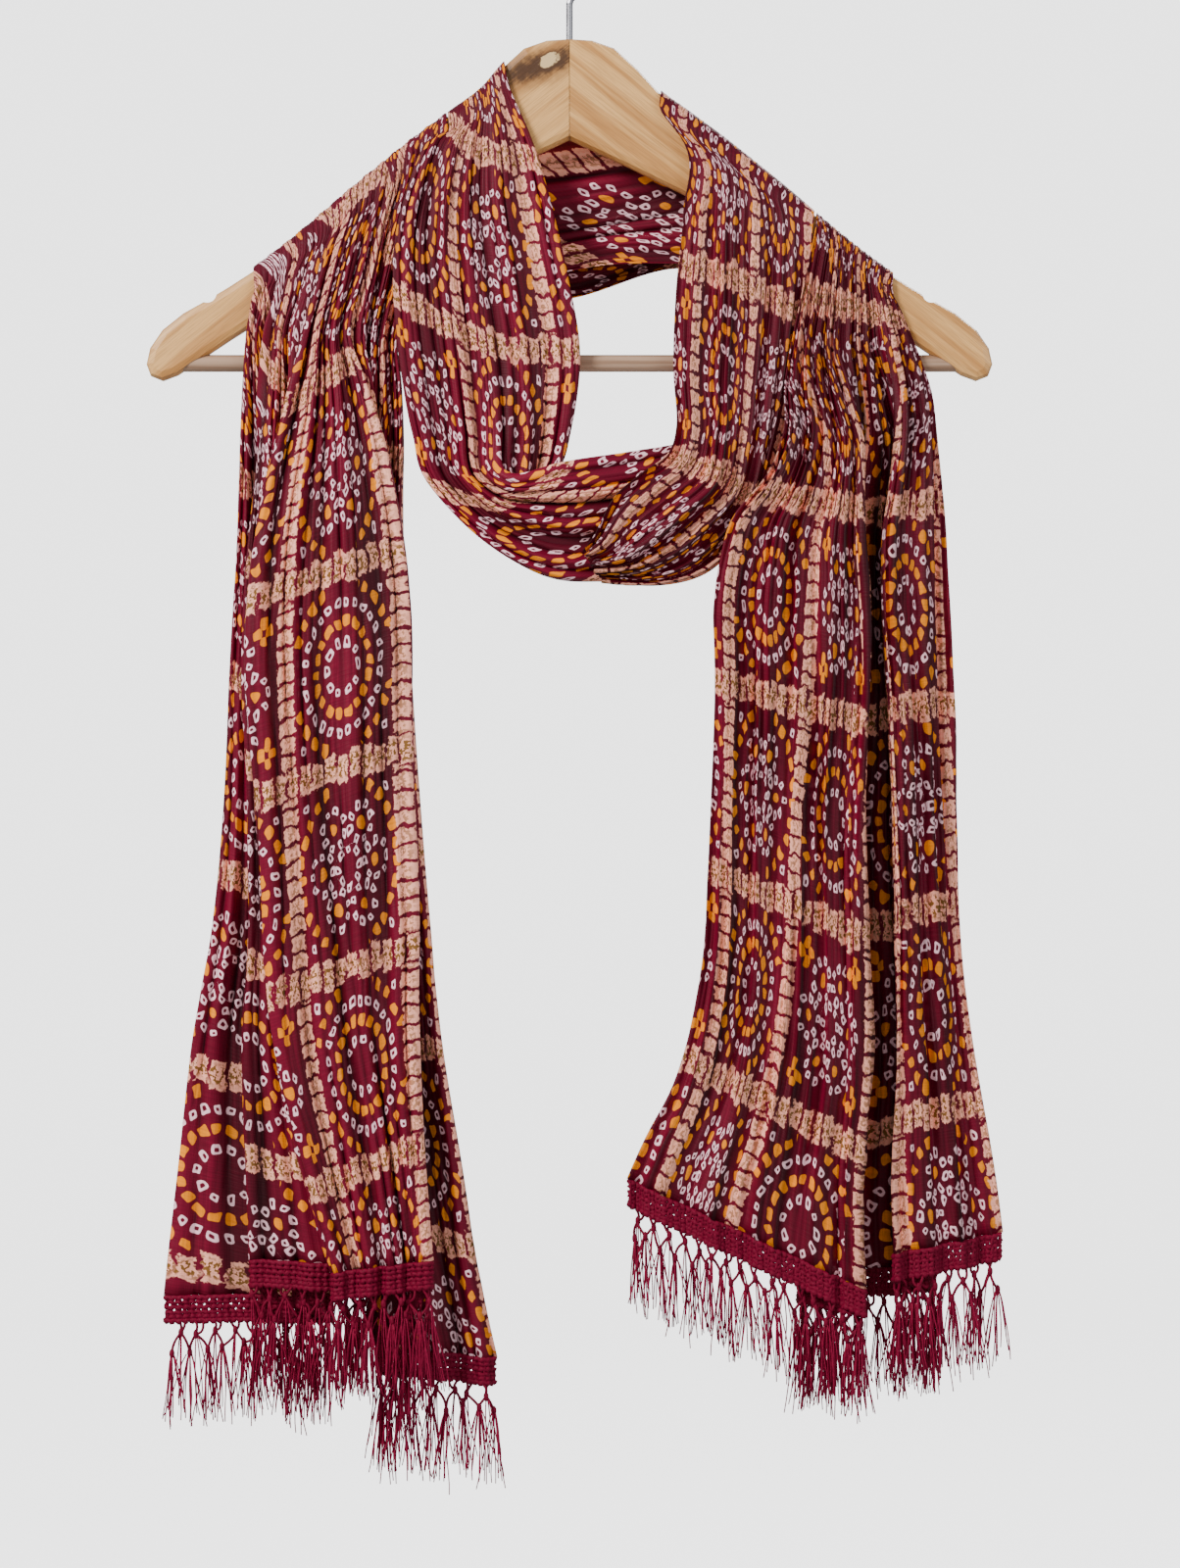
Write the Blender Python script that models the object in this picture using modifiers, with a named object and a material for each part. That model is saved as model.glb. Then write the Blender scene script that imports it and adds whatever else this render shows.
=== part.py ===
"""A printed dupatta stole, wound once round a wooden clothes hanger.

The stole is one long crinkled cloth. From the left tail it goes over the left arm, crosses
behind the board, comes over the right arm beside the neck, hangs as a loop in front, goes
back over the left arm beside the neck, crosses behind again and ends in the right tail.
The front faces -Y and the origin is the inner crown of the hook. Tables are in millimetres.
"""

import math

import bmesh
import bpy
import numpy as np

MM = 0.001
MODEL_NAME = "dupatta_stole_on_hanger"

# Hanger: a sawn board of two glued halves, a steel hook and a round bar between the tips.
BOARD_THICKNESS = 12.0
BOARD_EDGE_RADIUS = 4.0
BOARD_SEAM = 0.3
OUTLINE_STEP = 12.0
HOOK_WIRE = 3.5
HOOK_INNER_RADIUS = 18.0
HOOK_JOIN_ANGLE = -35.0
HOOK_TIP_ANGLE = 195.0
HOOK_BEND_START = -41.0
HOOK_BEND_STRENGTH = 18.0
HOOK_FOOT = -84.0
FIT_CLEARANCE = 0.3
BAR_DIAMETER = 9.0
BAR_HEIGHT = -230.3
BAR_HALF_LENGTH = 214.2
SOCKET_START = 170.0
STRAP_NOTCH_RADIUS = 4.5
STRAP_NOTCH_PLACE = (190.0, -194.5)
ROUND_FACETS = 24
CUTTER_HALF_DEPTH = 20.0
CUTTER_TOP = -40.0
CUTTER_FOOT = -260.0

# Cloth: wall, seam gap and how high a fold stands over the board.
CLOTH_WALL = 1.2
STRIP_WALL = 1.2
SEAM_GAP = 0.7
CREST_HALF_DEPTH = 9.6
CREST_DROP = 8.0
CREST_LIFT = 1.9
CREST_STEPS = 5
TURN_GAP = 3.6
TURN_SHARE = 0.004
PLEAT_DRIFT = 0.35
PLEAT_DRIFT_TURNS = 1.4
PLEAT_UNEVENNESS = 0.012
TAIL_PLEAT_FADE = 90.0
LOOP_PLEAT_FADE = 60.0
LOOP_PLAIN_END = 35.0
BACK_PLEAT_FADE = 30.0
BACK_TURN_DROP = 3.0

# Fringe: a crocheted heading strip with strands that lean together in groups.
HEADING_HEIGHT = 14.0
FRINGE_STEPS = 84
STRAND_GROUP = 4
STRAND_WIDTHS = (1.5, 1.2, 0.8)
STRAND_REACH = (20.0, 38.0, 52.0)
STRAND_LEAN = (0.62, 0.45, 0.60)
STRAND_LENGTH_SPREAD = 0.1

# Upper edge of the board: distance from the middle, height.
BOARD_TOP = (
    (0.0, -60.0),
    (12.0, -60.8),
    (24.0, -65.0),
    (35.0, -75.0),
    (43.0, -84.5),
    (61.0, -98.5),
    (80.0, -112.5),
    (98.0, -126.8),
    (116.0, -141.5),
    (132.0, -155.3),
    (149.0, -169.3),
    (165.0, -181.2),
    (183.0, -192.8),
    (203.0, -204.2),
)

# Tip and lower edge of the board, from the tip back to the middle: distance, height.
BOARD_TIP_AND_FOOT = (
    (214.0, -213.0),
    (220.5, -222.5),
    (222.4, -231.0),
    (220.2, -237.0),
    (214.0, -239.5),
    (206.0, -236.5),
    (197.0, -230.5),
    (177.5, -217.5),
    (139.0, -193.5),
    (100.0, -168.0),
    (61.5, -142.0),
    (30.0, -126.5),
    (0.0, -112.5),
)

# Outline of each tail, from the front: height, left side, right side.
LEFT_TAIL_OUTLINE = (
    (-180.0, -166.0, -84.0),
    (-225.0, -170.0, -88.0),
    (-245.0, -171.0, -86.0),
    (-323.0, -173.5, -86.0),
    (-400.0, -178.0, -82.0),
    (-462.0, -181.0, -78.0),
    (-524.0, -186.5, -73.0),
    (-586.0, -197.0, -67.0),
    (-648.0, -204.0, -57.0),
    (-710.0, -211.0, -47.0),
    (-755.0, -215.0, -37.0),
)
RIGHT_TAIL_OUTLINE = (
    (-180.0, 122.0, 169.0),
    (-210.0, 118.0, 177.0),
    (-245.0, 112.0, 189.5),
    (-268.0, 111.5, 192.5),
    (-283.0, 108.0, 194.0),
    (-307.0, 88.0, 196.5),
    (-348.0, 76.0, 199.0),
    (-400.0, 75.5, 201.0),
    (-477.0, 73.0, 203.0),
    (-555.0, 67.5, 208.5),
    (-606.0, 55.0, 215.0),
    (-655.0, 31.0, 223.0),
    (-730.0, 22.0, 232.0),
)

# Heights of the sections at which the fold tables give places and depths.
LEFT_TAIL_LEVELS = (-215.0, -330.0, -465.0)
RIGHT_TAIL_LEVELS = (-222.0, -296.0, -480.0)

# Folds of each tail, across the cloth: share of the width, then place across the outline
# (0 left, 1 right) and depth at the three levels and at the hem, hem height, and the
# height of the pleats in the panel up to the next fold.
LEFT_TAIL_FOLDS = (
    (0.00, (0.98, 0.99, 1.00, 1.00), (-10.0, -10.0, -10.0, -10.0), -752.0, 0.9),
    (0.20, (0.80, 0.70, 0.60, 0.64), (-10.5, -11.0, -11.0, -11.0), -746.0, 0.5),
    (0.33, (0.66, 0.98, 0.97, 0.87), (-16.5, -24.0, -26.0, -30.0), -698.0, 2.2),
    (0.58, (0.40, 0.12, 0.16, 0.54), (-24.0, -30.0, -31.0, -32.0), -704.0, 0.5),
    (0.66, (0.30, 0.42, 0.42, 0.69), (-16.5, -22.0, -23.0, -24.0), -702.0, 1.2),
    (0.80, (0.17, 0.05, 0.12, 0.26), (-16.0, -18.5, -19.0, -18.5), -699.0, 0.5),
    (0.87, (0.11, 0.26, 0.32, 0.54), (-11.0, -12.0, -13.0, -13.0), -719.0, 1.2),
    (1.00, (0.00, 0.00, 0.00, 0.00), (-9.5, -10.0, -10.0, -9.0), -719.0, 0.0),
)
RIGHT_TAIL_FOLDS = (
    (0.00, (0.00, 0.00, 0.00, 0.00), (-19.0, -29.0, -18.0, -13.0), -658.0, 1.8),
    (0.38, (0.36, 0.58, 0.62, 0.635), (-22.0, -33.0, -33.0, -33.0), -713.0, 0.4),
    (0.50, (0.48, 0.42, 0.43, 0.46), (-15.0, -19.0, -16.0, -15.0), -708.0, 0.6),
    (0.70, (0.68, 0.84, 0.86, 0.83), (-11.0, -9.5, -9.0, -8.5), -703.0, 0.4),
    (0.80, (0.78, 0.69, 0.71, 0.70), (-19.0, -27.0, -28.5, -28.5), -695.0, 1.6),
    (1.00, (1.00, 1.00, 1.00, 1.00), (-9.0, -12.0, -13.0, -13.0), -686.0, 0.0),
)
LEFT_TAIL_CREST = (-66.5, -165.0)
RIGHT_TAIL_CREST = (130.0, 169.0)
TAIL_PLEATS = 13
TAIL_STEPS = 38
TAIL_ROWS = 10

# Sections of the front loop, each row from the shoulder on to the bottom of the loop:
# x, depth and height of the inner edge, of the middle fold and of the outer edge.
LOOP_LEFT_SECTIONS = (
    ((-21.0, -11.0, -111.0), (-47.0, -14.0, -116.0), (-74.0, -19.5, -117.0)),
    ((-12.0, -12.0, -139.5), (-48.5, -17.0, -150.0), (-88.0, -22.0, -155.0)),
    ((-0.5, -13.0, -188.5), (-44.5, -19.0, -193.5), (-91.5, -23.0, -194.0)),
    ((5.5, -13.0, -230.0), (-39.0, -20.0, -235.0), (-87.0, -23.0, -240.0)),
    ((1.5, -13.0, -263.5), (-36.5, -22.0, -266.0), (-81.0, -22.0, -271.0)),
    ((-4.5, -11.0, -285.5), (-34.5, -24.0, -289.0), (-73.0, -22.0, -295.5)),
    ((-14.0, -12.0, -300.0), (-26.0, -26.0, -293.0), (-53.0, -21.0, -317.5)),
    ((-2.0, -12.0, -299.0), (-3.0, -25.0, -286.0), (-18.5, -18.0, -341.0)),
    ((31.0, -7.0, -292.0), (30.5, -18.0, -279.0), (22.5, -13.0, -346.0)),
    ((60.0, -3.0, -286.0), (59.0, -11.0, -273.0), (61.5, -8.0, -345.0)),
)
LOOP_RIGHT_SECTIONS = (
    ((60.0, -11.0, -116.0), (87.0, -14.0, -131.5), (127.0, -9.8, -168.0)),
    ((60.0, -12.0, -152.5), (88.0, -18.0, -168.0), (126.5, -10.0, -188.5)),
    ((56.0, -13.0, -193.5), (88.0, -21.0, -204.0), (123.0, -10.5, -214.0)),
    ((54.5, -14.0, -235.0), (86.0, -23.0, -242.5), (117.0, -12.0, -248.0)),
    ((56.0, -18.0, -266.0), (84.0, -25.0, -273.5), (110.0, -13.0, -279.0)),
    ((51.0, -22.0, -280.5), (79.0, -26.0, -297.0), (102.0, -13.0, -304.5)),
    ((36.5, -26.0, -291.5), (63.0, -27.0, -312.5), (89.0, -12.0, -325.0)),
    ((22.5, -27.0, -304.5), (44.0, -28.0, -328.0), (69.0, -18.0, -343.0)),
    ((13.5, -27.0, -322.5), (28.0, -28.0, -337.0), (45.0, -24.0, -348.5)),
    ((7.5, -24.0, -331.0), (11.5, -26.0, -339.0), (17.5, -23.0, -346.5)),
)
LOOP_LEFT_CREST = (-33.0, -62.0)
LOOP_RIGHT_CREST = (47.0, 127.5)
LOOP_SHARES = (0.0, 0.42, 1.0)
LOOP_PLEATS = 10
LOOP_PLEAT_HEIGHTS = (1.6, 1.8, 0.0)
LOOP_STEPS = 30
LOOP_ROWS = 13

# Sections of the two stretches behind the board, from left to right: x, depth and height
# of the upper edge, of the middle and of the lower edge.
BACK_FRONT_SECTIONS = (
    ((-60.0, 10.5, -123.0), (-97.0, 14.0, -154.0), (-142.0, 12.5, -203.0)),
    ((-30.0, 12.0, -114.0), (-45.0, 17.5, -156.0), (-68.0, 15.0, -197.0)),
    ((12.0, 12.0, -107.0), (15.0, 18.5, -150.0), (18.0, 16.0, -176.5)),
    ((38.0, 11.5, -104.5), (56.0, 16.5, -140.0), (82.0, 14.0, -174.0)),
)
BACK_REAR_SECTIONS = (
    ((-28.0, 22.0, -112.0), (-42.0, 25.5, -126.0), (-56.0, 22.0, -137.0)),
    ((-5.0, 29.0, -140.0), (-10.0, 33.0, -164.0), (-18.0, 30.0, -190.0)),
    ((52.0, 28.5, -143.0), (55.0, 33.0, -160.0), (60.0, 29.0, -176.0)),
    ((106.0, 21.0, -172.0), (118.0, 22.0, -182.0), (134.0, 20.0, -195.0)),
)
BACK_SHARES = (0.0, 0.5, 1.0)
BACK_PLEATS = 6
BACK_PLEAT_HEIGHTS = (0.9, 0.9, 0.0)
BACK_STEPS = 20
BACK_ROWS = 11

# Colour, roughness and metallic value of each material.
WOOD = ("pale_oak", (0.62, 0.42, 0.24, 1.0), 0.45, 0.0)
STEEL = ("hook_steel", (0.72, 0.72, 0.74, 1.0), 0.25, 1.0)
BAR_LACQUER = ("bar_lacquer", (0.66, 0.56, 0.46, 1.0), 0.35, 0.0)
CLOTH = ("printed_silk", (0.16, 0.012, 0.045, 1.0), 0.70, 0.0)
FRINGE = ("fringe_yarn", (0.15, 0.008, 0.03, 1.0), 0.80, 0.0)


def clear_scene():
    """Remove whatever objects the file holds."""
    for item in list(bpy.data.objects):
        bpy.data.objects.remove(item, do_unlink=True)


def new_collection(name):
    """A collection of the given name in the scene."""
    group = bpy.data.collections.new(name)
    bpy.context.scene.collection.children.link(group)
    return group


def finish_object(item, group, finish):
    """Put an object in its collection with a material of its own."""
    name, colour, roughness, metallic = finish
    material = bpy.data.materials.new(f"{item.name}_{name}")
    material.use_nodes = True
    shader = material.node_tree.nodes["Principled BSDF"]
    shader.inputs["Base Color"].default_value = colour
    shader.inputs["Roughness"].default_value = roughness
    shader.inputs["Metallic"].default_value = metallic
    item.data.materials.clear()
    item.data.materials.append(material)
    for old_group in list(item.users_collection):
        old_group.objects.unlink(item)
    group.objects.link(item)
    return item


def smooth_curve(knots, values, at):
    """Values at the given places, from a cubic curve with slopes taken from its neighbours."""
    knots = np.asarray(knots, float)
    values = np.asarray(values, float)
    at = np.clip(np.asarray(at, float), knots[0], knots[-1])
    slopes = np.gradient(values, knots, axis=0)
    span = np.clip(np.searchsorted(knots, at, side="right") - 1, 0, len(knots) - 2)
    shape = (-1,) + (1,) * (values.ndim - 1)
    width = (knots[span + 1] - knots[span]).reshape(shape)
    t = ((at - knots[span]) / (knots[span + 1] - knots[span])).reshape(shape)
    keep_start = 2 * t**3 - 3 * t**2 + 1
    lean_start = (t**3 - 2 * t**2 + t) * width
    lean_end = (t**3 - t**2) * width
    return (
        keep_start * values[span]
        + lean_start * slopes[span]
        + (1 - keep_start) * values[span + 1]
        + lean_end * slopes[span + 1]
    )


def board_top_height(x):
    """Height of the board's upper edge, the same on both sides of the middle."""
    table = np.array(BOARD_TOP)
    return smooth_curve(table[:, 0], table[:, 1], np.abs(x))


def board_outline():
    """Points of the whole outline, down the right side and up the left."""
    last = BOARD_TOP[-1][0]
    across = np.linspace(0.0, last, round(last / OUTLINE_STEP) + 1)
    top = list(zip(across, board_top_height(across)))
    right = top + list(BOARD_TIP_AND_FOOT)
    left = [(-x, z) for x, z in reversed(right[1:-1])]
    return right + left


def add_cylinder(name, radius, depth, place, turn, group):
    """A round cutter or bar, with its size and place in millimetres."""
    mesh = bpy.data.meshes.new(name)
    form = bmesh.new()
    bmesh.ops.create_cone(
        form,
        cap_ends=True,
        segments=ROUND_FACETS,
        radius1=radius * MM,
        radius2=radius * MM,
        depth=depth * MM,
    )
    form.to_mesh(mesh)
    form.free()
    item = bpy.data.objects.new(name, mesh)
    item.location = [value * MM for value in place]
    item.rotation_euler = turn
    group.objects.link(item)
    return item


def add_box(name, low, high, group):
    """A box cutter between two corners in millimetres."""
    mesh = bpy.data.meshes.new(name)
    form = bmesh.new()
    bmesh.ops.create_cube(form, size=1.0)
    for vertex in form.verts:
        for axis in range(3):
            middle = (low[axis] + high[axis]) / 2
            vertex.co[axis] = (middle + vertex.co[axis] * (high[axis] - low[axis])) * MM
    form.to_mesh(mesh)
    form.free()
    item = bpy.data.objects.new(name, mesh)
    group.objects.link(item)
    return item


def hide_cutter(item):
    """Show a cutter as a wire only."""
    item.hide_render = True
    item.display_type = "WIRE"
    return item


def cut_with(item, cutters):
    """Take each cutter out of an object."""
    for cutter in cutters:
        cut = item.modifiers.new(cutter.name, "BOOLEAN")
        cut.operation = "DIFFERENCE"
        cut.solver = "EXACT"
        cut.object = cutter


def build_arm(name, side, cutters, group):
    """One half of the board: the whole outline, rounded, less the other half."""
    mesh = bpy.data.meshes.new(name)
    form = bmesh.new()
    half = BOARD_THICKNESS / 2
    rim = [form.verts.new((x * MM, -half * MM, z * MM)) for x, z in board_outline()]
    face = form.faces.new(rim)
    pushed = bmesh.ops.extrude_face_region(form, geom=[face])
    far = [part for part in pushed["geom"] if isinstance(part, bmesh.types.BMVert)]
    bmesh.ops.translate(form, verts=far, vec=(0.0, BOARD_THICKNESS * MM, 0.0))
    bmesh.ops.recalc_face_normals(form, faces=form.faces)
    form.to_mesh(mesh)
    form.free()
    arm = bpy.data.objects.new(name, mesh)
    rounding = arm.modifiers.new("rounded edges", "BEVEL")
    rounding.width = BOARD_EDGE_RADIUS * MM
    rounding.segments = 2
    rounding.limit_method = "ANGLE"
    rounding.angle_limit = math.radians(60.0)
    far_end = -side * (BAR_HALF_LENGTH + CUTTER_HALF_DEPTH)
    low_x, high_x = sorted((side * BOARD_SEAM / 2, far_end))
    other_half = add_box(
        f"{name}_other_half",
        (low_x, -CUTTER_HALF_DEPTH, CUTTER_FOOT),
        (high_x, CUTTER_HALF_DEPTH, CUTTER_TOP),
        cutters,
    )
    notch_x, notch_z = STRAP_NOTCH_PLACE
    notch = add_cylinder(
        f"{name}_notch",
        STRAP_NOTCH_RADIUS,
        2 * CUTTER_HALF_DEPTH,
        (side * notch_x, 0.0, notch_z),
        (math.pi / 2, 0.0, 0.0),
        cutters,
    )
    socket_end = BAR_HALF_LENGTH + FIT_CLEARANCE
    socket = add_cylinder(
        f"{name}_socket",
        BAR_DIAMETER / 2 + FIT_CLEARANCE,
        socket_end - SOCKET_START,
        (side * (SOCKET_START + socket_end) / 2, 0.0, BAR_HEIGHT),
        (0.0, math.pi / 2, 0.0),
        cutters,
    )
    bore_foot = HOOK_FOOT - FIT_CLEARANCE
    bore = add_cylinder(
        f"{name}_bore",
        HOOK_WIRE / 2 + FIT_CLEARANCE,
        CUTTER_TOP - bore_foot,
        (0.0, 0.0, (CUTTER_TOP + bore_foot) / 2),
        (0.0, 0.0, 0.0),
        cutters,
    )
    cut_with(arm, [hide_cutter(item) for item in (other_half, notch, socket, bore)])
    return finish_object(arm, group, WOOD)


def hook_route():
    """Middle line of the wire: foot, straight shank, bend and round crown, as x and z."""
    radius = HOOK_INNER_RADIUS + HOOK_WIRE / 2
    centre = -HOOK_INNER_RADIUS
    angles = np.radians(np.linspace(HOOK_JOIN_ANGLE, HOOK_TIP_ANGLE, 20))
    crown = np.stack([radius * np.cos(angles), centre + radius * np.sin(angles)], axis=1)
    start = np.array([0.0, HOOK_BEND_START])
    rise = HOOK_BEND_STRENGTH * np.array([0.0, 1.0])
    sweep = HOOK_BEND_STRENGTH * np.array([-math.sin(angles[0]), math.cos(angles[0])])
    t = np.linspace(0.0, 1.0, 8)[:-1, None]
    blend = 2 * t**3 - 3 * t**2 + 1
    bend = blend * start + (1 - blend) * crown[0]
    bend += (t**3 - 2 * t**2 + t) * rise + (t**3 - t**2) * sweep
    foot = np.array([[0.0, HOOK_FOOT]])
    return np.concatenate([foot, bend, crown])


def build_hook(group):
    """The hook, bent from round steel wire."""
    points = hook_route()
    curve = bpy.data.curves.new("hook", "CURVE")
    curve.dimensions = "3D"
    curve.bevel_depth = HOOK_WIRE / 2 * MM
    curve.bevel_resolution = 2
    curve.use_fill_caps = True
    spline = curve.splines.new("POLY")
    spline.points.add(len(points) - 1)
    for point, (x, z) in zip(spline.points, points):
        point.co = (x * MM, 0.0, z * MM, 1.0)
    return finish_object(bpy.data.objects.new("hook", curve), group, STEEL)


def build_bar(group):
    """The round bar between the two tips."""
    bar = add_cylinder(
        "trouser_bar",
        BAR_DIAMETER / 2,
        2 * BAR_HALF_LENGTH,
        (0.0, 0.0, BAR_HEIGHT),
        (0.0, math.pi / 2, 0.0),
        group,
    )
    return finish_object(bar, group, BAR_LACQUER)


def board_top_normal(x):
    """Direction square to the board's upper edge, outwards, as x and z."""
    step = 2.0
    rise = (board_top_height(x + step) - board_top_height(x - step)) / (2 * step)
    size = np.sqrt(1.0 + rise**2)
    return -rise / size, 1.0 / size


def crest_rows(crest, columns, turns=CREST_STEPS + 1):
    """Rows of points over the board's edge, in an arc from the back face to the front."""
    x = crest[0] + (crest[1] - crest[0]) * columns
    edge = board_top_height(x)
    normal_x, normal_z = board_top_normal(x)
    rows = []
    for angle in np.linspace(math.pi, 0.0, CREST_STEPS + 1)[:turns]:
        lift = CREST_LIFT * math.sin(angle)
        drop = CREST_DROP * (1.0 - math.sin(angle))
        depth = np.full_like(x, -CREST_HALF_DEPTH * math.cos(angle))
        rows.append(np.stack([x + normal_x * lift, depth, edge + normal_z * lift - drop], axis=1))
    return np.array(rows)


def cloth_columns(shares, steps):
    """Places across the cloth, evenly spread in each panel, with three at each turned fold."""
    columns = []
    last = len(shares) - 1
    for i in range(last):
        low = shares[i] + (TURN_SHARE if i > 0 else 0.0)
        high = shares[i + 1] - (TURN_SHARE if i + 1 < last else 0.0)
        count = max(2, round((shares[i + 1] - shares[i]) * steps))
        columns.extend(np.linspace(low, high, count + 1))
        if i + 1 < last:
            columns.append(shares[i + 1])
    return np.array(columns)


def split_turns(lines, shares, amounts):
    """Give each inner fold line two sides and a tip, so that the wall turns round it."""
    parts = [lines[0]]
    places = [shares[0]]
    turned = np.asarray(amounts)[:, None]
    for i in range(1, len(lines) - 1):
        before, fold, after = lines[i - 1], lines[i], lines[i + 1]
        behind = np.sign(np.mean(before[:, 1] - after[:, 1]))
        outward = np.sign(np.mean(2 * fold[:, 0] - before[:, 0] - after[:, 0]))
        for side, other, gap in (
            (1.0, before, shares[i] - shares[i - 1]),
            (0.0, fold, 1.0),
            (-1.0, after, shares[i + 1] - shares[i]),
        ):
            flat = fold + (other - fold) * TURN_SHARE / gap
            shift = np.array([-abs(side) * outward, side * behind, 0.0]) * TURN_GAP / 2
            parts.append(flat * (1.0 - turned) + (fold + shift) * turned)
            places.append(shares[i] - side * TURN_SHARE)
    parts.append(lines[-1])
    places.append(shares[-1])
    return np.array(parts), np.array(places)


def spread_across(parts, places, columns):
    """Rows of points between the fold lines, straight across each panel."""
    span = np.clip(np.searchsorted(places, columns, side="right") - 1, 0, len(places) - 2)
    share = (columns - places[span]) / (places[span + 1] - places[span])
    share = np.clip(share, 0.0, 1.0)[:, None, None]
    return (parts[span] * (1.0 - share) + parts[span + 1] * share).swapaxes(0, 1)


def resample(rows, first_free, count):
    """Keep the first rows as they are and spread the rest evenly along the cloth."""
    steps = np.linalg.norm(np.diff(rows, axis=0), axis=2).mean(axis=1)
    knots = np.concatenate([[0.0], np.cumsum(steps)])
    at = np.concatenate([knots[:first_free], np.linspace(knots[first_free], knots[-1], count)])
    return smooth_curve(knots, rows, at), at


def add_pleats(rows, columns, shares, heights, count, rise):
    """Raise pleats along the surface's own normal, each panel's fading out at its folds."""
    along = np.gradient(rows, axis=0)
    across = np.gradient(rows, axis=1)
    normal = np.cross(along, across)
    normal /= np.linalg.norm(normal, axis=2, keepdims=True)
    shares = np.asarray(shares)
    panel = np.clip(np.searchsorted(shares, columns, side="right") - 1, 0, len(shares) - 2)
    place = (columns - shares[panel]) / (shares[panel + 1] - shares[panel])
    height = np.asarray(heights)[panel] * np.clip(1.4 * np.sin(math.pi * place) - 0.1, 0.0, 1.0)
    turns = np.linspace(0.0, PLEAT_DRIFT_TURNS, len(rows))
    drift = PLEAT_DRIFT * np.sin(2 * math.pi * turns)[:, None]
    uneven = PLEAT_UNEVENNESS * np.sin(6 * math.pi * columns)
    phase = 2 * math.pi * count * (columns + uneven) + drift
    return rows + normal * (height * rise[:, None] * np.sin(phase))[:, :, None]


def tail_lines(outline, levels, folds):
    """Each fold's line from the shoulder to the hem, from the outline and the table."""
    outline = np.array(outline)[::-1]
    mean_hem = np.mean([fold[3] for fold in folds])
    top = levels[0]
    stations = [(level - top) / (mean_hem - top) for level in levels] + [1.0]
    at = np.linspace(0.0, 1.0, 2 * TAIL_ROWS)
    lines = []
    for _, places, depths, hem, _ in folds:
        height = top + (hem - top) * at
        left = smooth_curve(outline[:, 0], outline[:, 1], height)
        right = smooth_curve(outline[:, 0], outline[:, 2], height)
        place = smooth_curve(stations, places, at)
        depth = smooth_curve(stations, depths, at)
        lines.append(np.stack([left + (right - left) * place, depth, height], axis=1))
    return lines


def tail_surface(outline, levels, folds, crest, steps, count):
    """A whole tail: over the board, down its shoulder and on to the hem."""
    shares = [fold[0] for fold in folds]
    heights = [fold[4] for fold in folds]
    columns = cloth_columns(shares, steps)
    lines = tail_lines(outline, levels, folds)
    turned = np.clip(np.linspace(0.0, TAIL_ROWS / 2, 2 * TAIL_ROWS), 0.0, 1.0)
    parts, places = split_turns(lines, shares, turned)
    over = crest_rows(crest, columns)
    body = spread_across(parts, places, columns)
    bridge = [over[-1] + (body[0] - over[-1]) * share for share in (1.0 / 3.0, 2.0 / 3.0)]
    rows, at = resample(np.concatenate([over, bridge, body]), len(over) - 1, count)
    rise = np.clip((at - at[len(over) - 2]) / TAIL_PLEAT_FADE, 0.0, 1.0)
    return add_pleats(rows, columns, shares, heights, TAIL_PLEATS, rise)


def loop_surface(sections, crest, turned, steps, count):
    """One side of the loop: over the board and down to the bottom of the loop."""
    columns = cloth_columns(LOOP_SHARES, steps)
    lines = list(np.swapaxes(np.array(sections), 0, 1))
    amounts = np.clip(np.arange(len(sections)) - 4.0, 0.0, 2.0) / 2.0 * turned
    parts, places = split_turns(lines, LOOP_SHARES, amounts)
    over = crest_rows(crest, columns)
    control = np.concatenate([over, spread_across(parts, places, columns)])
    rows, at = resample(control, len(over) - 1, count)
    rise = np.clip((at - at[len(over) - 2]) / LOOP_PLEAT_FADE, 0.0, 1.0)
    rise *= np.clip((at[-1] - at - LOOP_PLAIN_END) / LOOP_PLEAT_FADE, 0.0, 1.0)
    return add_pleats(rows, columns, LOOP_SHARES, LOOP_PLEAT_HEIGHTS, LOOP_PLEATS, rise)


def back_surface(sections, left_crest, right_crest, steps, count):
    """One stretch behind the board, from the back of the left arm to that of the right."""
    columns = cloth_columns(BACK_SHARES, steps)
    lines = list(np.swapaxes(np.array(sections), 0, 1))
    parts, places = split_turns(lines, BACK_SHARES, np.zeros(len(sections)))
    start = crest_rows(left_crest, columns, turns=1)
    end = crest_rows(right_crest, columns, turns=1)
    drop = np.array([0.0, 0.0, -SEAM_GAP])
    turn = np.array([0.0, 0.0, -SEAM_GAP - BACK_TURN_DROP])
    body = spread_across(parts, places, columns)
    control = np.concatenate([start + drop, start + turn, body, end + turn, end + drop])
    rows, at = resample(control, 0, count)
    rise = np.clip(np.minimum(at, at[-1] - at) / BACK_PLEAT_FADE - 0.3, 0.0, 1.0)
    return add_pleats(rows, columns, BACK_SHARES, BACK_PLEAT_HEIGHTS, BACK_PLEATS, rise)


def grid_mesh(name, rows):
    """A mesh of four-sided faces over a grid of points in millimetres."""
    count, width = rows.shape[:2]
    index = np.arange(count * width).reshape(count, width)
    faces = np.stack([index[:-1, :-1], index[1:, :-1], index[1:, 1:], index[:-1, 1:]], axis=-1)
    mesh = bpy.data.meshes.new(name)
    mesh.from_pydata((rows.reshape(-1, 3) * MM).tolist(), [], faces.reshape(-1, 4).tolist())
    mesh.shade_smooth()
    return mesh


def build_cloth(name, rows, group):
    """A stretch of cloth as one thin wall."""
    item = bpy.data.objects.new(name, grid_mesh(name, rows))
    wall = item.modifiers.new("wall", "SOLIDIFY")
    wall.thickness = CLOTH_WALL * MM
    wall.offset = 0.0
    return finish_object(item, group, CLOTH)


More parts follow.
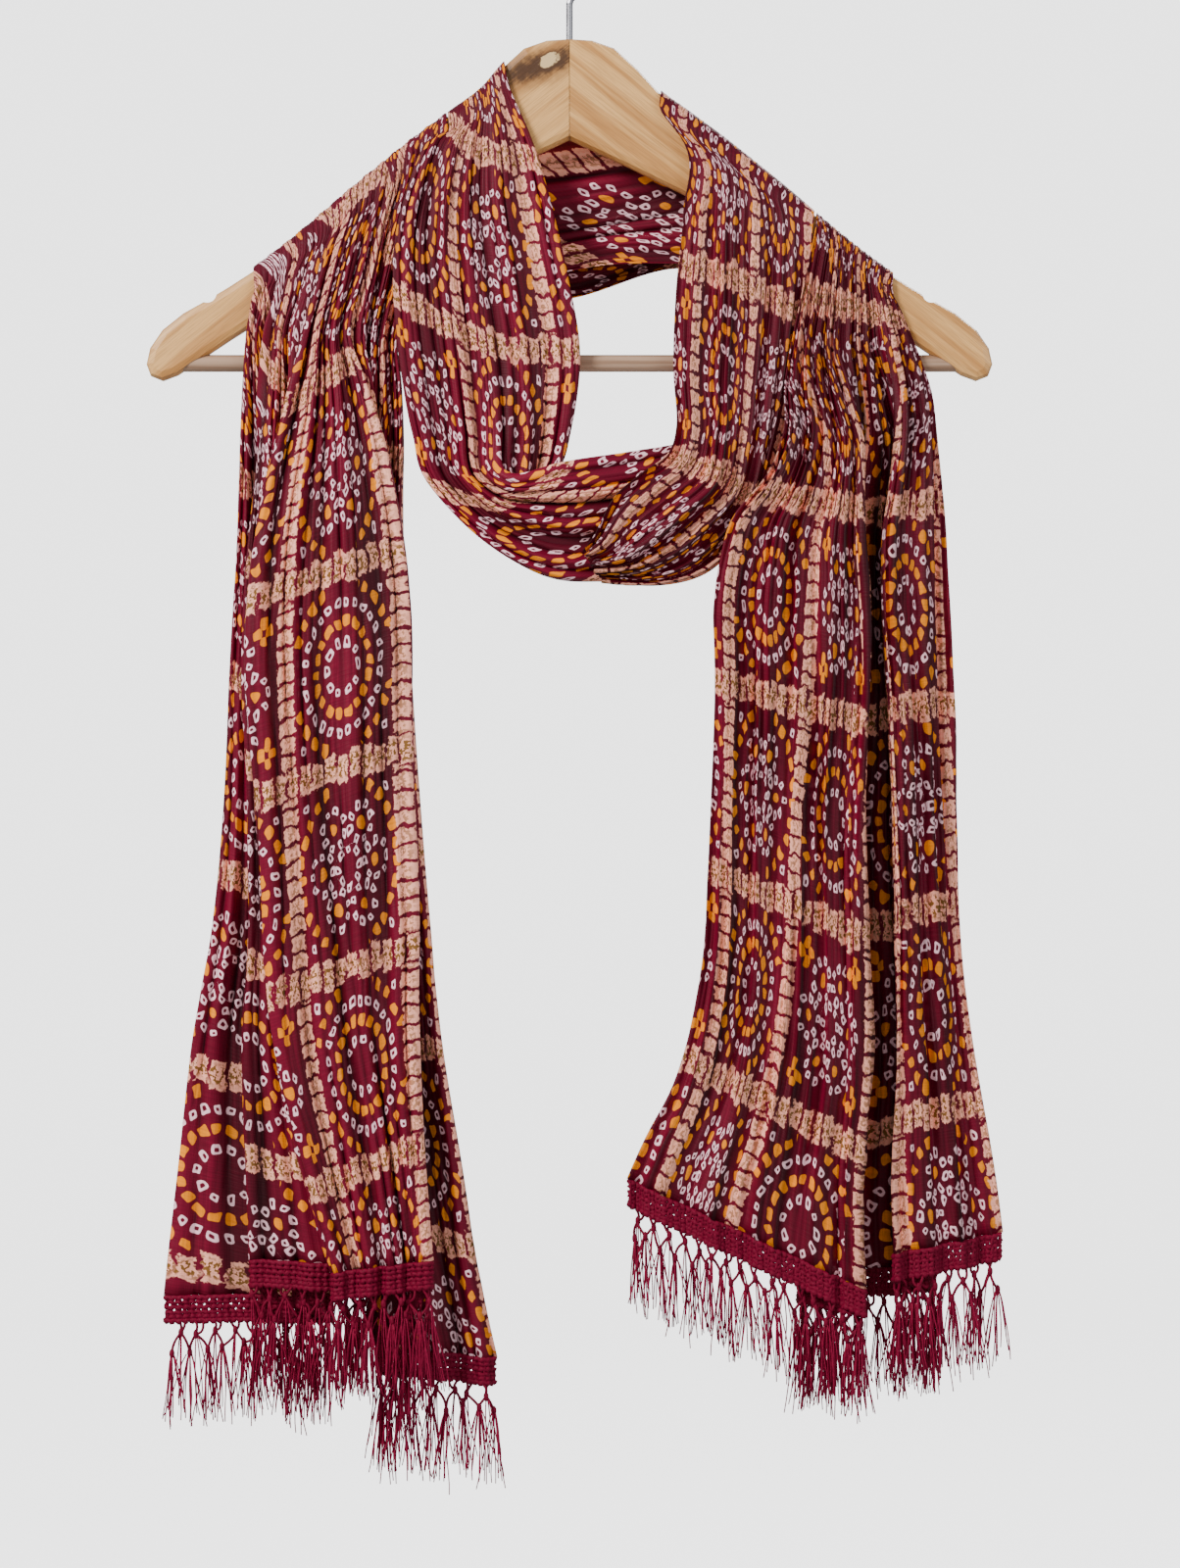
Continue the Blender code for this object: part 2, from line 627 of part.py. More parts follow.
def heading_points(rows):
    """Corners of the heading strip below a hem: side, edge, column, then x, depth, height."""
    hem = rows[-1]
    fall = rows[-1] - rows[-2]
    fall /= np.linalg.norm(fall, axis=1, keepdims=True)
    along = np.gradient(hem, axis=0)
    normal = np.cross(fall, along)
    normal /= np.linalg.norm(normal, axis=1, keepdims=True)
    edges = np.array([hem + fall * SEAM_GAP, hem + fall * HEADING_HEIGHT])
    half = normal * STRIP_WALL / 2
    return np.array([edges - half, edges + half])


def build_fringe(name, rows, group):
    """The heading strip and its strands, which grow out of the strip's lower side."""
    points = heading_points(rows)
    width = points.shape[2]
    form = bmesh.new()
    verts = np.empty(points.shape[:3], object)
    for place in np.ndindex(verts.shape):
        verts[place] = form.verts.new(points[place] * MM)
    roots = []
    for i in range(width - 1):
        near, far = verts[0], verts[1]
        form.faces.new((near[0, i], near[1, i], near[1, i + 1], near[0, i + 1]))
        form.faces.new((far[0, i], far[0, i + 1], far[1, i + 1], far[1, i]))
        form.faces.new((near[0, i], near[0, i + 1], far[0, i + 1], far[0, i]))
        under = form.faces.new((near[1, i], far[1, i], far[1, i + 1], near[1, i + 1]))
        if i % 2 == 1:
            roots.append(under)
    for i in (0, width - 1):
        form.faces.new((verts[0, 0, i], verts[0, 1, i], verts[1, 1, i], verts[1, 0, i]))
    centres = [root.calc_center_median() / MM for root in roots]
    for number, face in enumerate(roots):
        first = number - number % STRAND_GROUP
        gathered = centres[first : first + STRAND_GROUP]
        knot = sum(gathered[1:], gathered[0]) / len(gathered)
        length = 1.0 + STRAND_LENGTH_SPREAD * math.sin(number * 2.4)
        for thickness, reach, lean in zip(STRAND_WIDTHS, STRAND_REACH, STRAND_LEAN):
            face = bmesh.ops.extrude_discrete_faces(form, faces=[face])["faces"][0]
            middle = face.calc_center_median()
            size = max((vertex.co - middle).length for vertex in face.verts)
            shrink = min(1.0, thickness / 2 * MM / size)
            target = centres[number].lerp(knot, lean)
            target.z = centres[number].z - reach * length
            for vertex in face.verts:
                offset = (vertex.co - middle) * shrink
                offset.z = 0.0
                vertex.co = target * MM + offset
    bmesh.ops.recalc_face_normals(form, faces=form.faces)
    mesh = bpy.data.meshes.new(name)
    form.to_mesh(mesh)
    form.free()
    return finish_object(bpy.data.objects.new(name, mesh), group, FRINGE)


def build_model():
    """Every piece, in the order in which it is put together."""
    clear_scene()
    model = new_collection(MODEL_NAME)
    cutters = new_collection("cutters")
    build_arm("hanger_arm_left", -1.0, cutters, model)
    build_arm("hanger_arm_right", 1.0, cutters, model)
    build_bar(model)
    build_hook(model)

    left = (LEFT_TAIL_OUTLINE, LEFT_TAIL_LEVELS, LEFT_TAIL_FOLDS, LEFT_TAIL_CREST)
    right = (RIGHT_TAIL_OUTLINE, RIGHT_TAIL_LEVELS, RIGHT_TAIL_FOLDS, RIGHT_TAIL_CREST)
    build_cloth("left_tail", tail_surface(*left, TAIL_STEPS, TAIL_ROWS), model)
    build_cloth("right_tail", tail_surface(*right, TAIL_STEPS, TAIL_ROWS), model)
    build_fringe("fringe_left", tail_surface(*left, FRINGE_STEPS, TAIL_ROWS), model)
    build_fringe("fringe_right", tail_surface(*right, FRINGE_STEPS, TAIL_ROWS), model)

    left = loop_surface(LOOP_LEFT_SECTIONS, LOOP_LEFT_CREST, 1.0, LOOP_STEPS, LOOP_ROWS)
    right = loop_surface(LOOP_RIGHT_SECTIONS, LOOP_RIGHT_CREST, 0.0, LOOP_STEPS, LOOP_ROWS)
    build_cloth("loop_left", left, model)
    build_cloth("loop_right", right, model)

    front = back_surface(BACK_FRONT_SECTIONS, LEFT_TAIL_CREST, LOOP_RIGHT_CREST, BACK_STEPS, BACK_ROWS)
    rear = back_surface(BACK_REAR_SECTIONS, LOOP_LEFT_CREST, RIGHT_TAIL_CREST, BACK_STEPS, BACK_ROWS)
    build_cloth("back_band_front", front, model)
    build_cloth("back_band_rear", rear, model)


build_model()
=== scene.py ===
"""A printed dupatta stole, wound once round a wooden clothes hanger, in a pale studio."""

import math

import bpy
import numpy as np
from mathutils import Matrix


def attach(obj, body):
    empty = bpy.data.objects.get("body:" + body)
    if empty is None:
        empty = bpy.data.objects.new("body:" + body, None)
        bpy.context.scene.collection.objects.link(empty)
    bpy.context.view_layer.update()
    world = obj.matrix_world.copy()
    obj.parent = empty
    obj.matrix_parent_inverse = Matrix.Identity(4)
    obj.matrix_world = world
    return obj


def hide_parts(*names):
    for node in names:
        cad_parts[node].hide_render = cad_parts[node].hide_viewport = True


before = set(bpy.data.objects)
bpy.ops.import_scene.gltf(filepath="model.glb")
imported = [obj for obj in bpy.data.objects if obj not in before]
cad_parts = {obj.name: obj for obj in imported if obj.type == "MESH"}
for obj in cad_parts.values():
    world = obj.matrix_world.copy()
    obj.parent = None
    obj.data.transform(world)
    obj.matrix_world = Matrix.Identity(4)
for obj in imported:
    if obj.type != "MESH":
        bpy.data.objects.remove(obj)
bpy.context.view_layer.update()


# Camera: level and straight on from the front, from 1.8 m, like the photograph's. Its long lens
# takes in the hanger from tip to tip and the fringes at the bottom.
CAMERA_PLACE = (0.0108, -1.8, -0.4517)
CAMERA_LENS = 78.5


def add_object(name, data):
    """A new object at the origin with the given data."""
    item = bpy.data.objects.new(name, data)
    bpy.context.scene.collection.objects.link(item)
    return item


camera_data = bpy.data.cameras.new("camera")
camera_data.sensor_fit = "VERTICAL"
camera_data.sensor_height = 36.0
camera_data.lens = CAMERA_LENS
camera = add_object("camera", camera_data)
camera.location = CAMERA_PLACE
camera.rotation_euler = (math.pi / 2, 0.0, 0.0)
bpy.context.scene.camera = camera


# Board: two glued halves of pale knotty wood under a clear satin lacquer. The grain of each half
# runs along its arm, so it meets at the middle seam in a chevron. A dark knot with a drop of
# resin sits beside the seam at the top of the left half.
GRAIN_SLOPE = -38.0
WOOD_PALE = (1.0, 0.57, 0.20, 1.0)
WOOD_RING = (0.58, 0.26, 0.068, 1.0)
WOOD_WARM = (0.84, 0.41, 0.12, 1.0)
WOOD_FIBRE = (0.30, 0.12, 0.032, 1.0)
KNOT_AT = (-0.016, -0.0700)
KNOT_SIZE = (0.024, 0.0078)
KNOT_LEAN = 0.30
KNOT_RIM = (0.36, 0.155, 0.045, 1.0)
KNOT_HEART = (0.050, 0.017, 0.005, 1.0)
RESIN_AT = (-0.0105, -0.0685)
RESIN_SIZE = (0.0062, 0.0034)
RESIN = (0.86, 0.60, 0.29, 1.0)


class Wire:
    """A number in a node tree that takes part in plain arithmetic."""

    def __init__(self, tree, socket):
        self.tree = tree
        self.socket = socket

    def math(self, operation, *others):
        """A math node of this number and others."""
        inputs = dict(enumerate((self, *others)))
        return Wire(self.tree, add_node(self.tree, "Math", 0, inputs, operation=operation))

    def __add__(self, other):
        return self.math("ADD", other)

    def __sub__(self, other):
        return self.math("SUBTRACT", other)

    def __mul__(self, other):
        return self.math("MULTIPLY", other)

    def __truediv__(self, other):
        return self.math("DIVIDE", other)

    def below(self, low, high):
        """1 below low, falling smoothly to 0 above high."""
        inputs = {"Value": self, "From Min": low, "From Max": high, "To Min": 1.0, "To Max": 0.0}
        result = add_node(self.tree, "MapRange", 0, inputs, interpolation_type="SMOOTHSTEP")
        return Wire(self.tree, result)

    def rest(self):
        """What is missing to 1."""
        return self * -1.0 + 1.0

    def square(self):
        """The number times itself."""
        return self * self


def connect(tree, value, place):
    """Link a wire or a socket to an input, or set the input to a plain value."""
    if isinstance(value, Wire):
        value = value.socket
    if isinstance(value, bpy.types.NodeSocket):
        tree.links.new(value, place)
    else:
        place.default_value = value


def add_node(tree, kind, output, inputs=(), **settings):
    """One output of a new shader node with the given settings and inputs."""
    node = tree.nodes.new(f"ShaderNode{kind}")
    for name, value in settings.items():
        setattr(node, name, value)
    for name, value in dict(inputs).items():
        connect(tree, value, node.inputs[name])
    return node.outputs[output]


def noise(tree, vector, scale, detail=2.0, rough=0.5, space="3D"):
    """Noise from 0 to 1 over a vector."""
    inputs = {"Vector": vector, "Scale": scale, "Detail": detail, "Roughness": rough}
    return Wire(tree, add_node(tree, "TexNoise", "Fac", inputs, noise_dimensions=space))


def stretch(tree, vector, scale, turn=(0.0, 0.0, 0.0), shift=(0.0, 0.0, 0.0)):
    """A vector scaled, turned and moved."""
    inputs = {"Vector": vector, "Location": shift, "Rotation": turn, "Scale": scale}
    return add_node(tree, "Mapping", "Vector", inputs)


def mix_colour(tree, share, first, second, blend="MIX"):
    """Two colours mixed by a share."""
    inputs = {0: share, 6: first, 7: second}
    return add_node(tree, "Mix", 2, inputs, data_type="RGBA", blend_type=blend)


def split_vector(tree, vector):
    """The three numbers of a vector."""
    first = add_node(tree, "SeparateXYZ", 0, {0: vector})
    return [Wire(tree, place) for place in first.node.outputs]


def join_vector(tree, x, y, z=0.0):
    """A vector of three numbers."""
    return add_node(tree, "CombineXYZ", 0, {0: x, 1: y, 2: z})


def new_material(name):
    """A material, its tree and its shader."""
    material = bpy.data.materials.new(name)
    material.use_nodes = True
    return material, material.node_tree, material.node_tree.nodes["Principled BSDF"]


def object_place(tree):
    """The place on an object, in metres."""
    return add_node(tree, "TexCoord", "Object")


def finish(tree, shader, colour, roughness):
    """Give a shader its colour and its roughness."""
    connect(tree, colour, shader.inputs["Base Color"])
    connect(tree, roughness, shader.inputs["Roughness"])


def bump(tree, shader, height, distance, strength):
    """Raise a surface by a height."""
    inputs = {"Height": height, "Distance": distance, "Strength": strength}
    connect(tree, add_node(tree, "Bump", 0, inputs), shader.inputs["Normal"])


def new_group(name, inputs, outputs):
    """A node group whose inputs and outputs are given by name, each with its kind."""
    group = bpy.data.node_groups.new(name, "ShaderNodeTree")
    for way, places in (("INPUT", inputs), ("OUTPUT", outputs)):
        for label, kind in places.items():
            group.interface.new_socket(label, in_out=way, socket_type=f"NodeSocket{kind}")
    start = group.nodes.new("NodeGroupInput")
    end = group.nodes.new("NodeGroupOutput")
    return group, [Wire(group, place) for place in start.outputs[:-1]], end


def use_group(tree, group, *values):
    """The outputs of a group, by name, with its inputs given in order."""
    node = tree.nodes.new("ShaderNodeGroup")
    node.node_tree = group
    for place, value in zip(node.inputs, values):
        connect(tree, value, place)
    return {place.name: Wire(tree, place) for place in node.outputs}


def grain_group():
    """Wood grain in a space whose x runs along the grain, and warm patches in another space."""
    outputs = {"Colour": "Color", "Fibre": "Float"}
    group, (along, patch), end = new_group(
        "wood_grain", {"Along": "Vector", "Patch": "Vector"}, outputs
    )
    flow = noise(group, stretch(group, along, (5.0, 9.0, 22.0)), 1.0, 2.0) * 0.010
    x, y, z = split_vector(group, along)
    bent = join_vector(group, x, y, z + flow)
    rings = noise(group, stretch(group, bent, (4.0, 30.0, 150.0)), 1.0, 3.0, 0.62)
    fibre = noise(group, stretch(group, bent, (60.0, 300.0, 2200.0)), 1.0, 2.0, 0.6)
    warm = noise(group, patch, 1.0, 2.0)
    colour = mix_colour(group, rings.below(0.38, 0.58), WOOD_PALE, WOOD_RING)
    colour = mix_colour(group, warm * 0.55, colour, WOOD_WARM)
    colour = mix_colour(group, fibre.below(0.30, 0.62) * 0.40, colour, WOOD_FIBRE)
    connect(group, colour, end.inputs["Colour"])
    connect(group, fibre, end.inputs["Fibre"])
    return group


def board_wood(name, side, grain):
    """Pale wood whose grain runs down along one arm."""
    material, tree, shader = new_material(name)
    place = object_place(tree)
    turn = (0.0, side * math.radians(GRAIN_SLOPE), 0.0)
    turned = stretch(tree, place, (1.0, 1.0, 1.0), turn=turn)
    patch = stretch(tree, place, (14.0, 20.0, 14.0), shift=(side, 0.0, 0.0))
    wood = use_group(tree, grain, turned, patch)
    fibre = wood["Fibre"]
    colour = wood["Colour"]
    if side < 0:
        # The knot: a dark brown ellipse with a ragged rim, and the pale drop of resin in it.
        x, _, z = split_vector(tree, place)
        ragged = noise(tree, stretch(tree, place, (210.0, 20.0, 210.0)), 1.0, 3.0, 0.65) - 0.5
        knot, drop = (
            ((x - at_x) / long).square() + ((z - at_z - x * KNOT_LEAN) / high).square()
            for at_x, at_z, long, high in (KNOT_AT + KNOT_SIZE, RESIN_AT + RESIN_SIZE)
        )
        reach = knot + ragged * 1.5 + (fibre - 0.5) * 0.8
        colour = mix_colour(tree, reach.below(0.7, 2.8) * 0.75, colour, KNOT_RIM)
        colour = mix_colour(tree, reach.below(0.20, 1.15) * 0.92, colour, KNOT_HEART)
        colour = mix_colour(tree, (drop + ragged * 3.2).below(0.6, 1.1), colour, RESIN)
    finish(tree, shader, colour, fibre * 0.12 + 0.36)
    bump(tree, shader, fibre, 0.0002, 0.5)
    return material


def dress(node_name, material):
    """Give a CAD node its material."""
    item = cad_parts[node_name]
    item.data.materials.clear()
    item.data.materials.append(material)


wood_grain = grain_group()
dress("hanger_arm_left", board_wood("wood_left", -1.0, wood_grain))
dress("hanger_arm_right", board_wood("wood_right", 1.0, wood_grain))


# Glue line: the brown film of wood glue that fills the seam between the halves. It is 0.2 mm
# thick, as deep as the board less its rounded edges, and a little uneven from top to bottom.
SEAM_TOP = -0.0665
SEAM_FOOT = -0.1128
SEAM_ROWS = 24
SEAM_DEPTHS = (-0.0053, -0.0018, 0.0018, 0.0053)
GLUE_LIGHT = (0.25, 0.12, 0.05, 1.0)
GLUE_DARK = (0.12, 0.05, 0.02, 1.0)


def ring_walls(index):
    """Faces of a grid of corners whose rows are closed rings."""
    after = np.roll(index, -1, axis=-1)
    corners = (index[..., :-1, :], after[..., :-1, :], after[..., 1:, :], index[..., 1:, :])
    return np.stack(corners, axis=-1).reshape(-1, 4).tolist()


def new_mesh(name, points, faces, *materials):
    """A mesh of points in metres and of faces, with its materials."""
    mesh = bpy.data.meshes.new(name)
    mesh.from_pydata(points.reshape(-1, 3).tolist(), [], faces)
    for material in materials:
        mesh.materials.append(material)
    return mesh


seam_material, tree, shader = new_material("seam_glue")
uneven = noise(tree, stretch(tree, object_place(tree), (400.0, 400.0, 120.0)), 1.0, 2.0)
finish(tree, shader, mix_colour(tree, uneven, GLUE_LIGHT, GLUE_DARK), uneven * 0.2 + 0.4)
height = np.linspace(SEAM_TOP, SEAM_FOOT, SEAM_ROWS)[:, None]
side = np.repeat([-1.0, 1.0], len(SEAM_DEPTHS))
film = side * (0.00009 + 0.00002 * np.sin(height * 900.0))
points = np.stack(np.broadcast_arrays(film, SEAM_DEPTHS + SEAM_DEPTHS[::-1], height), axis=2)
index = np.arange(film.size).reshape(film.shape)
faces = ring_walls(index) + [index[0, ::-1].tolist(), index[-1].tolist()]
seam = add_object("glue_seam", new_mesh("glue_seam", points, faces, seam_material))
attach(seam, "root")


# Bar: a turned round of the same pale wood, glued into a blind socket in each arm, under a
# smooth satin lacquer.
BAR_PALE = (0.52, 0.34, 0.23, 1.0)
BAR_STREAK = (0.34, 0.20, 0.125, 1.0)
bar_material, tree, shader = new_material("bar_lacquer")
streak = noise(tree, stretch(tree, object_place(tree), (14.0, 500.0, 500.0)), 1.0, 2.0)
colour = mix_colour(tree, streak.below(0.35, 0.65), BAR_PALE, BAR_STREAK)
finish(tree, shader, colour, streak * 0.1 + 0.22)
dress("trouser_bar", bar_material)


# Hook: steel wire, bent to a round bow, driven into the board's crown and plated. It is drawn
# smooth, with faint lines along it.
STEEL_LIGHT = (0.17, 0.17, 0.185, 1.0)
STEEL_DARK = (0.10, 0.10, 0.11, 1.0)
steel_material, tree, shader = new_material("hook_steel")
drawn = noise(tree, stretch(tree, object_place(tree), (900.0, 900.0, 60.0)), 1.0, 2.0)
colour = mix_colour(tree, drawn.below(0.35, 0.65), STEEL_LIGHT, STEEL_DARK)
finish(tree, shader, colour, drawn * 0.12 + 0.16)
shader.inputs["Metallic"].default_value = 1.0
dress("hook", steel_material)


# Print: tie-dye dots in rings and rosettes, in a check of beige block bands, on maroon. Each
# piece's UV map holds the place in the print, in metres, and its attribute "fold" says how high
# the crinkle stands; the cloth material turns it into painted shade in the valleys and painted
# light on the ridges.
CELL_ACROSS = 100.0
CELL_ALONG = 103.0
BRUSH_WOBBLE = 3.6
RING_START = 3.5
RING_STEP = 10.0
RING_DOT = 2.3
RINGS_END = (38.0, 38.3)
PETALS_END = (37.5, 37.8)
PETAL_REACH = 24.0
PETAL_DOTS = (9.7, 8.0, 2.15)
MIDDLE_END = (12.1, 12.3)
ARC_DOTS = (43.2, 27.0, 2.8)
ARC_END = (47.5, 47.8)
DIAMOND_AT = (19.0, 20.0)
DIAMOND_DOTS = (4.8, 4.0, 2.8)
SINGLE_AT = (13.5, 15.5)
SINGLE_DOT = (0.01, 4.0, 2.2)
RIM_OUTSIDE = (0.95, 1.12)
RIM_INSIDE = (0.36, 0.52)
YELLOW_EDGE = (0.95, 1.08)
YELLOW_RING_EDGE = (1.16, 1.30)
HEART_EDGE = (3.0, 3.5)
BLOCK_WIDTH = 11.2
BLOCK_CUT = (0.335, 0.40)
BAND_EDGE = (6.7, 7.5)
RUNG_HEIGHT = 9.3
RUNG_CUT = (0.36, 0.42)
LADDER_EDGE = (6.4, 7.2)
GROUND_DARK_AND_SHADED = (0.045, 0.0, 0.005, 1.0)
GROUND_PALE_AND_LIT = (0.150, 0.002, 0.019, 1.0)
BLOCK_BEIGE = (1.0, 0.43, 0.31, 1.0)
BLOCK_SPECK = (0.20, 0.09, 0.018, 1.0)
RIM_WHITE = (1.0, 0.62, 0.69, 1.0)
DOT_YELLOW = (0.86, 0.255, 0.0, 1.0)


def dot_ring_group():
    """How far a point is from the nearest of a ring's dots, as a share of the dot's half size.

    The dots are evenly spaced on a circle, and each is a square with round corners that faces
    the middle.
    """
    inputs = dict.fromkeys(("X", "Y", "Radius", "Count", "Half Size"), "Float")
    group, (x, y, radius, count, half), end = new_group("dot_ring", inputs, {"Distance": "Float"})
    step = (count * 0.0 + 2 * math.pi) / count
    angle = (y.math("ARCTAN2", x) / step).math("ROUND") * step
    cosine = angle.math("COSINE")
    sine = angle.math("SINE")
    outward = x * cosine + y * sine - radius
    round_it = y * cosine - x * sine
    fourth = outward.square().square() + round_it.square().square()
    connect(group, fourth.math("POWER", 0.25) / half, end.inputs["Distance"])
    return group


def white_rims(dots):
    """The rims of dots, from the distance to the nearest."""
    return dots.below(*RIM_OUTSIDE) * dots.below(*RIM_INSIDE).rest()


def cut_blocks(place, edges):
    """1 in the blocks and 0 in the cuts between them, from a place counted in blocks."""
    return (place.math("FRACT") - 0.5).math("ABSOLUTE").below(*edges)


def print_group():
    """The whole print, from a place across and along the cloth in millimetres.

    Puts out the masks of the white rims, of the yellow dots, of the beige blocks and of the
    brown specks in them.
    """
    dots = dot_ring_group()
    masks = ("White", "Yellow", "Beige", "Speck")
    places = {"X": "Float", "Y": "Float"}
    group, (across, along), end = new_group("tied_print", places, dict.fromkeys(masks, "Float"))
    flat = join_vector(group, across, along)
    moved = stretch(group, flat, (1.0, 1.0, 1.0), shift=(37.0, 11.0, 0.0))
    x, y = (
        place + (noise(group, where, 0.13, 0.0, space="2D") - 0.5) * BRUSH_WOBBLE
        for place, where in ((across, flat), (along, moved))
    )
    ragged = noise(group, flat, 0.46, 1.0, 0.6, space="2D") - 0.5
    column = (x / CELL_ACROSS).math("FLOOR")
    row = (y / CELL_ALONG).math("FLOOR")
    cx = x - column * CELL_ACROSS - CELL_ACROSS / 2
    cy = y - row * CELL_ALONG - CELL_ALONG / 2
    odd = (column + row).math("FLOORED_MODULO", 2.0)
    even = odd.rest()
    arched = (column + 1.0).math("FLOORED_MODULO", 2.0)
    size_x = cx.math("ABSOLUTE")
    size_y = cy.math("ABSOLUTE")
    corner_x = size_x * -1.0 + CELL_ACROSS / 2
    corner_y = size_y * -1.0 + CELL_ALONG / 2
    distance = (cx.square() + cy.square()).math("SQRT")

    # Motif of rings: three rings of 10, 18 and 26 dots, the middle one yellow.
    ring = ((distance - RING_START) / RING_STEP).math("ROUND").math("MAXIMUM", 1.0)
    circle = (ring * RING_STEP + RING_START, ring * 8.0 + 2.0, RING_DOT)
    ring_dots = use_group(group, dots, cx, cy, *circle)["Distance"]
    in_rings = distance.below(*RINGS_END) * odd
    second = (ring - 2.0).math("ABSOLUTE").below(0.2, 0.4)

    # Motif of petals: six small rings with a yellow heart round a middle one.
    turn = (cy.math("ARCTAN2", cx) / (math.pi / 3)).math("ROUND") * (math.pi / 3)
    cosine = turn.math("COSINE")
    sine = turn.math("SINE")
    petal_out = cx * cosine + cy * sine - PETAL_REACH
    petal_round = cy * cosine - cx * sine
    from_middle = distance.below(*MIDDLE_END)
    outside = from_middle.rest()
    lx = petal_out * outside + cx * from_middle
    ly = petal_round * outside + cy * from_middle
    petal_dots = use_group(group, dots, lx, ly, *PETAL_DOTS)["Distance"]
    heart = (lx.square() + ly.square()).math("SQRT")
    in_petals = distance.below(*PETALS_END) * even

    # Yellow arcs beside the motifs, and a diamond of yellow dots or a white dot by the crossings.
    arc = use_group(group, dots, cx, cy, *ARC_DOTS)["Distance"]
    in_arc = (size_x * -1.0).below(-15.0, -14.6)
    arc_ends = (size_y * -1.0).below(-14.0, -13.6) * odd
    in_arc = in_arc * arc_ends.math("MAXIMUM", arched * even) * distance.below(*ARC_END)
    diamond, single = (
        use_group(group, dots, corner_x - middle[0], corner_y - middle[1], *circle)["Distance"]
        for middle, circle in ((DIAMOND_AT, DIAMOND_DOTS), (SINGLE_AT, SINGLE_DOT))
    )
    white = white_rims(ring_dots) * in_rings * second.rest()
    white = white + white_rims(petal_dots) * in_petals
    white = white + white_rims(single) * odd.math("MAXIMUM", arched)
    yellow = ring_dots.below(*YELLOW_RING_EDGE) * in_rings * second
    yellow = yellow + heart.below(*HEART_EDGE) * in_petals * outside
    yellow = yellow.math("MAXIMUM", arc.below(*YELLOW_EDGE) * in_arc)
    yellow = yellow.math("MAXIMUM", diamond.below(*YELLOW_EDGE) * (even * arched.rest()))

    # Bands: blocks side by side across the cloth, and ladders of blocks along it.
    block = (x + ragged * 4.0) / BLOCK_WIDTH
    uneven = ((block.math("FLOOR") * 0.618 + row * 0.37).math("FRACT") - 0.5) * 3.6
    band_edge = corner_y + ragged * 2.8 + uneven
    merged = noise(group, flat, 0.09, 0.0, space="2D").below(0.30, 0.38)
    band_cut = cut_blocks(block, BLOCK_CUT) + merged * 0.8
    band = band_edge.below(*BAND_EDGE) * band_cut.math("MINIMUM", 1.0)
    rung = (y + ragged * 1.8 + corner_x * 0.12) / RUNG_HEIGHT
    ladder = (corner_x + ragged * 3.0).below(*LADDER_EDGE) * cut_blocks(rung, RUNG_CUT)
    beige = band.math("MAXIMUM", ladder * band_edge.below(8.0, 9.5).rest())
    speck = noise(group, flat, 0.42, 1.0, 0.7, space="2D").below(0.485, 0.53).rest()
    inner = band_edge.below(3.2, 7.0).math("MAXIMUM", corner_x.below(2.4, 6.2) * 0.7)
    clear = beige.rest()
    for mask, value in zip(masks, (white * clear, yellow * clear, beige, speck * inner * beige)):
        connect(group, value, end.inputs[mask])
    return group


def cloth_material(name, group):
    """Crinkled silk-like cloth with the print, and painted shade and light on its crinkle."""
    material, tree, shader = new_material(name)
    uv = add_node(tree, "UVMap", "UV")
    u, v, _ = split_vector(tree, uv)
    masks = use_group(tree, group, u * 1000.0, v * 1000.0)
    height = Wire(tree, add_node(tree, "Attribute", "Fac", attribute_name="fold"))
    uneven = noise(tree, stretch(tree, uv, (26.0, 9.0, 1.0)), 1.0, 1.0, space="2D")
    slub = noise(tree, stretch(tree, uv, (60.0, 1300.0, 1.0)), 1.0, 0.0, space="2D")
    warp = noise(tree, stretch(tree, uv, (1600.0, 40.0, 1.0)), 1.0, 0.0, space="2D")
    # The ground goes from dark to pale with random tone and with the crinkle's height: painted
    # shade in the valleys, painted light on the ridges.
    uneven_and_lit = (uneven * 0.9 + height * 0.8 - 0.45).math("MAXIMUM", 0.0).math("MINIMUM", 1.0)
    colour = mix_colour(tree, uneven_and_lit, GROUND_DARK_AND_SHADED, GROUND_PALE_AND_LIT)
    beige = mix_colour(tree, masks["Speck"], BLOCK_BEIGE, BLOCK_SPECK)
    colour = mix_colour(tree, masks["Beige"], colour, beige)
    colour = mix_colour(tree, masks["White"], colour, RIM_WHITE)
    colour = mix_colour(tree, masks["Yellow"], colour, DOT_YELLOW)
    weave = (slub + warp) * 0.5
    # Weave tone times painted shade from the crinkle's height: darker in the valleys, lighter on
    # the ridges.
    weave_and_shade = (weave * 0.60 + 0.72) * (height * 0.95 + 0.38)
    colour = mix_colour(tree, 1.0, colour, join_vector(tree, weave_and_shade, weave_and_shade, weave_and_shade), "MULTIPLY")
    finish(tree, shader, colour, weave * 0.20 + 0.42)
    shader.inputs["Specular IOR Level"].default_value = 0.18
    bump(tree, shader, weave, 0.00035, 0.55)
    return material


printed = cloth_material("printed_silk", print_group())


# Tails: the two hanging ends of the stole. Each is one thin crinkled sheet that goes over its arm
# and falls to the hem in turned folds. The fold tables are the CAD walls' own.
MM = 0.001
TAIL_ACROSS = 400
TAIL_ALONG = 88
TAIL_WIDTH = 450.0
TAIL_CREASE = (2.1, 0.62)
PLEAT = 13.0
SMALL_PLEAT = 5.1
WAVE = 36.0
BOARD_TOP = (
    (0.0, 12.0, 24.0, 35.0, 43.0, 61.0, 80.0, 98.0, 116.0, 132.0, 149.0, 165.0, 183.0, 203.0),
    (-60.0, -60.8, -65.0, -75.0, -84.5, -98.5, -112.5)
    + (-126.8, -141.5, -155.3, -169.3, -181.2, -192.8, -204.2),
)
CREST_HALF_DEPTH = 9.6
CREST_DROP = 8.0
CREST_LIFT = 1.9
CREST_ROWS = 13
TURN_GAP = 3.6
TURN_SHARE = 0.004
SHELL = 0.45
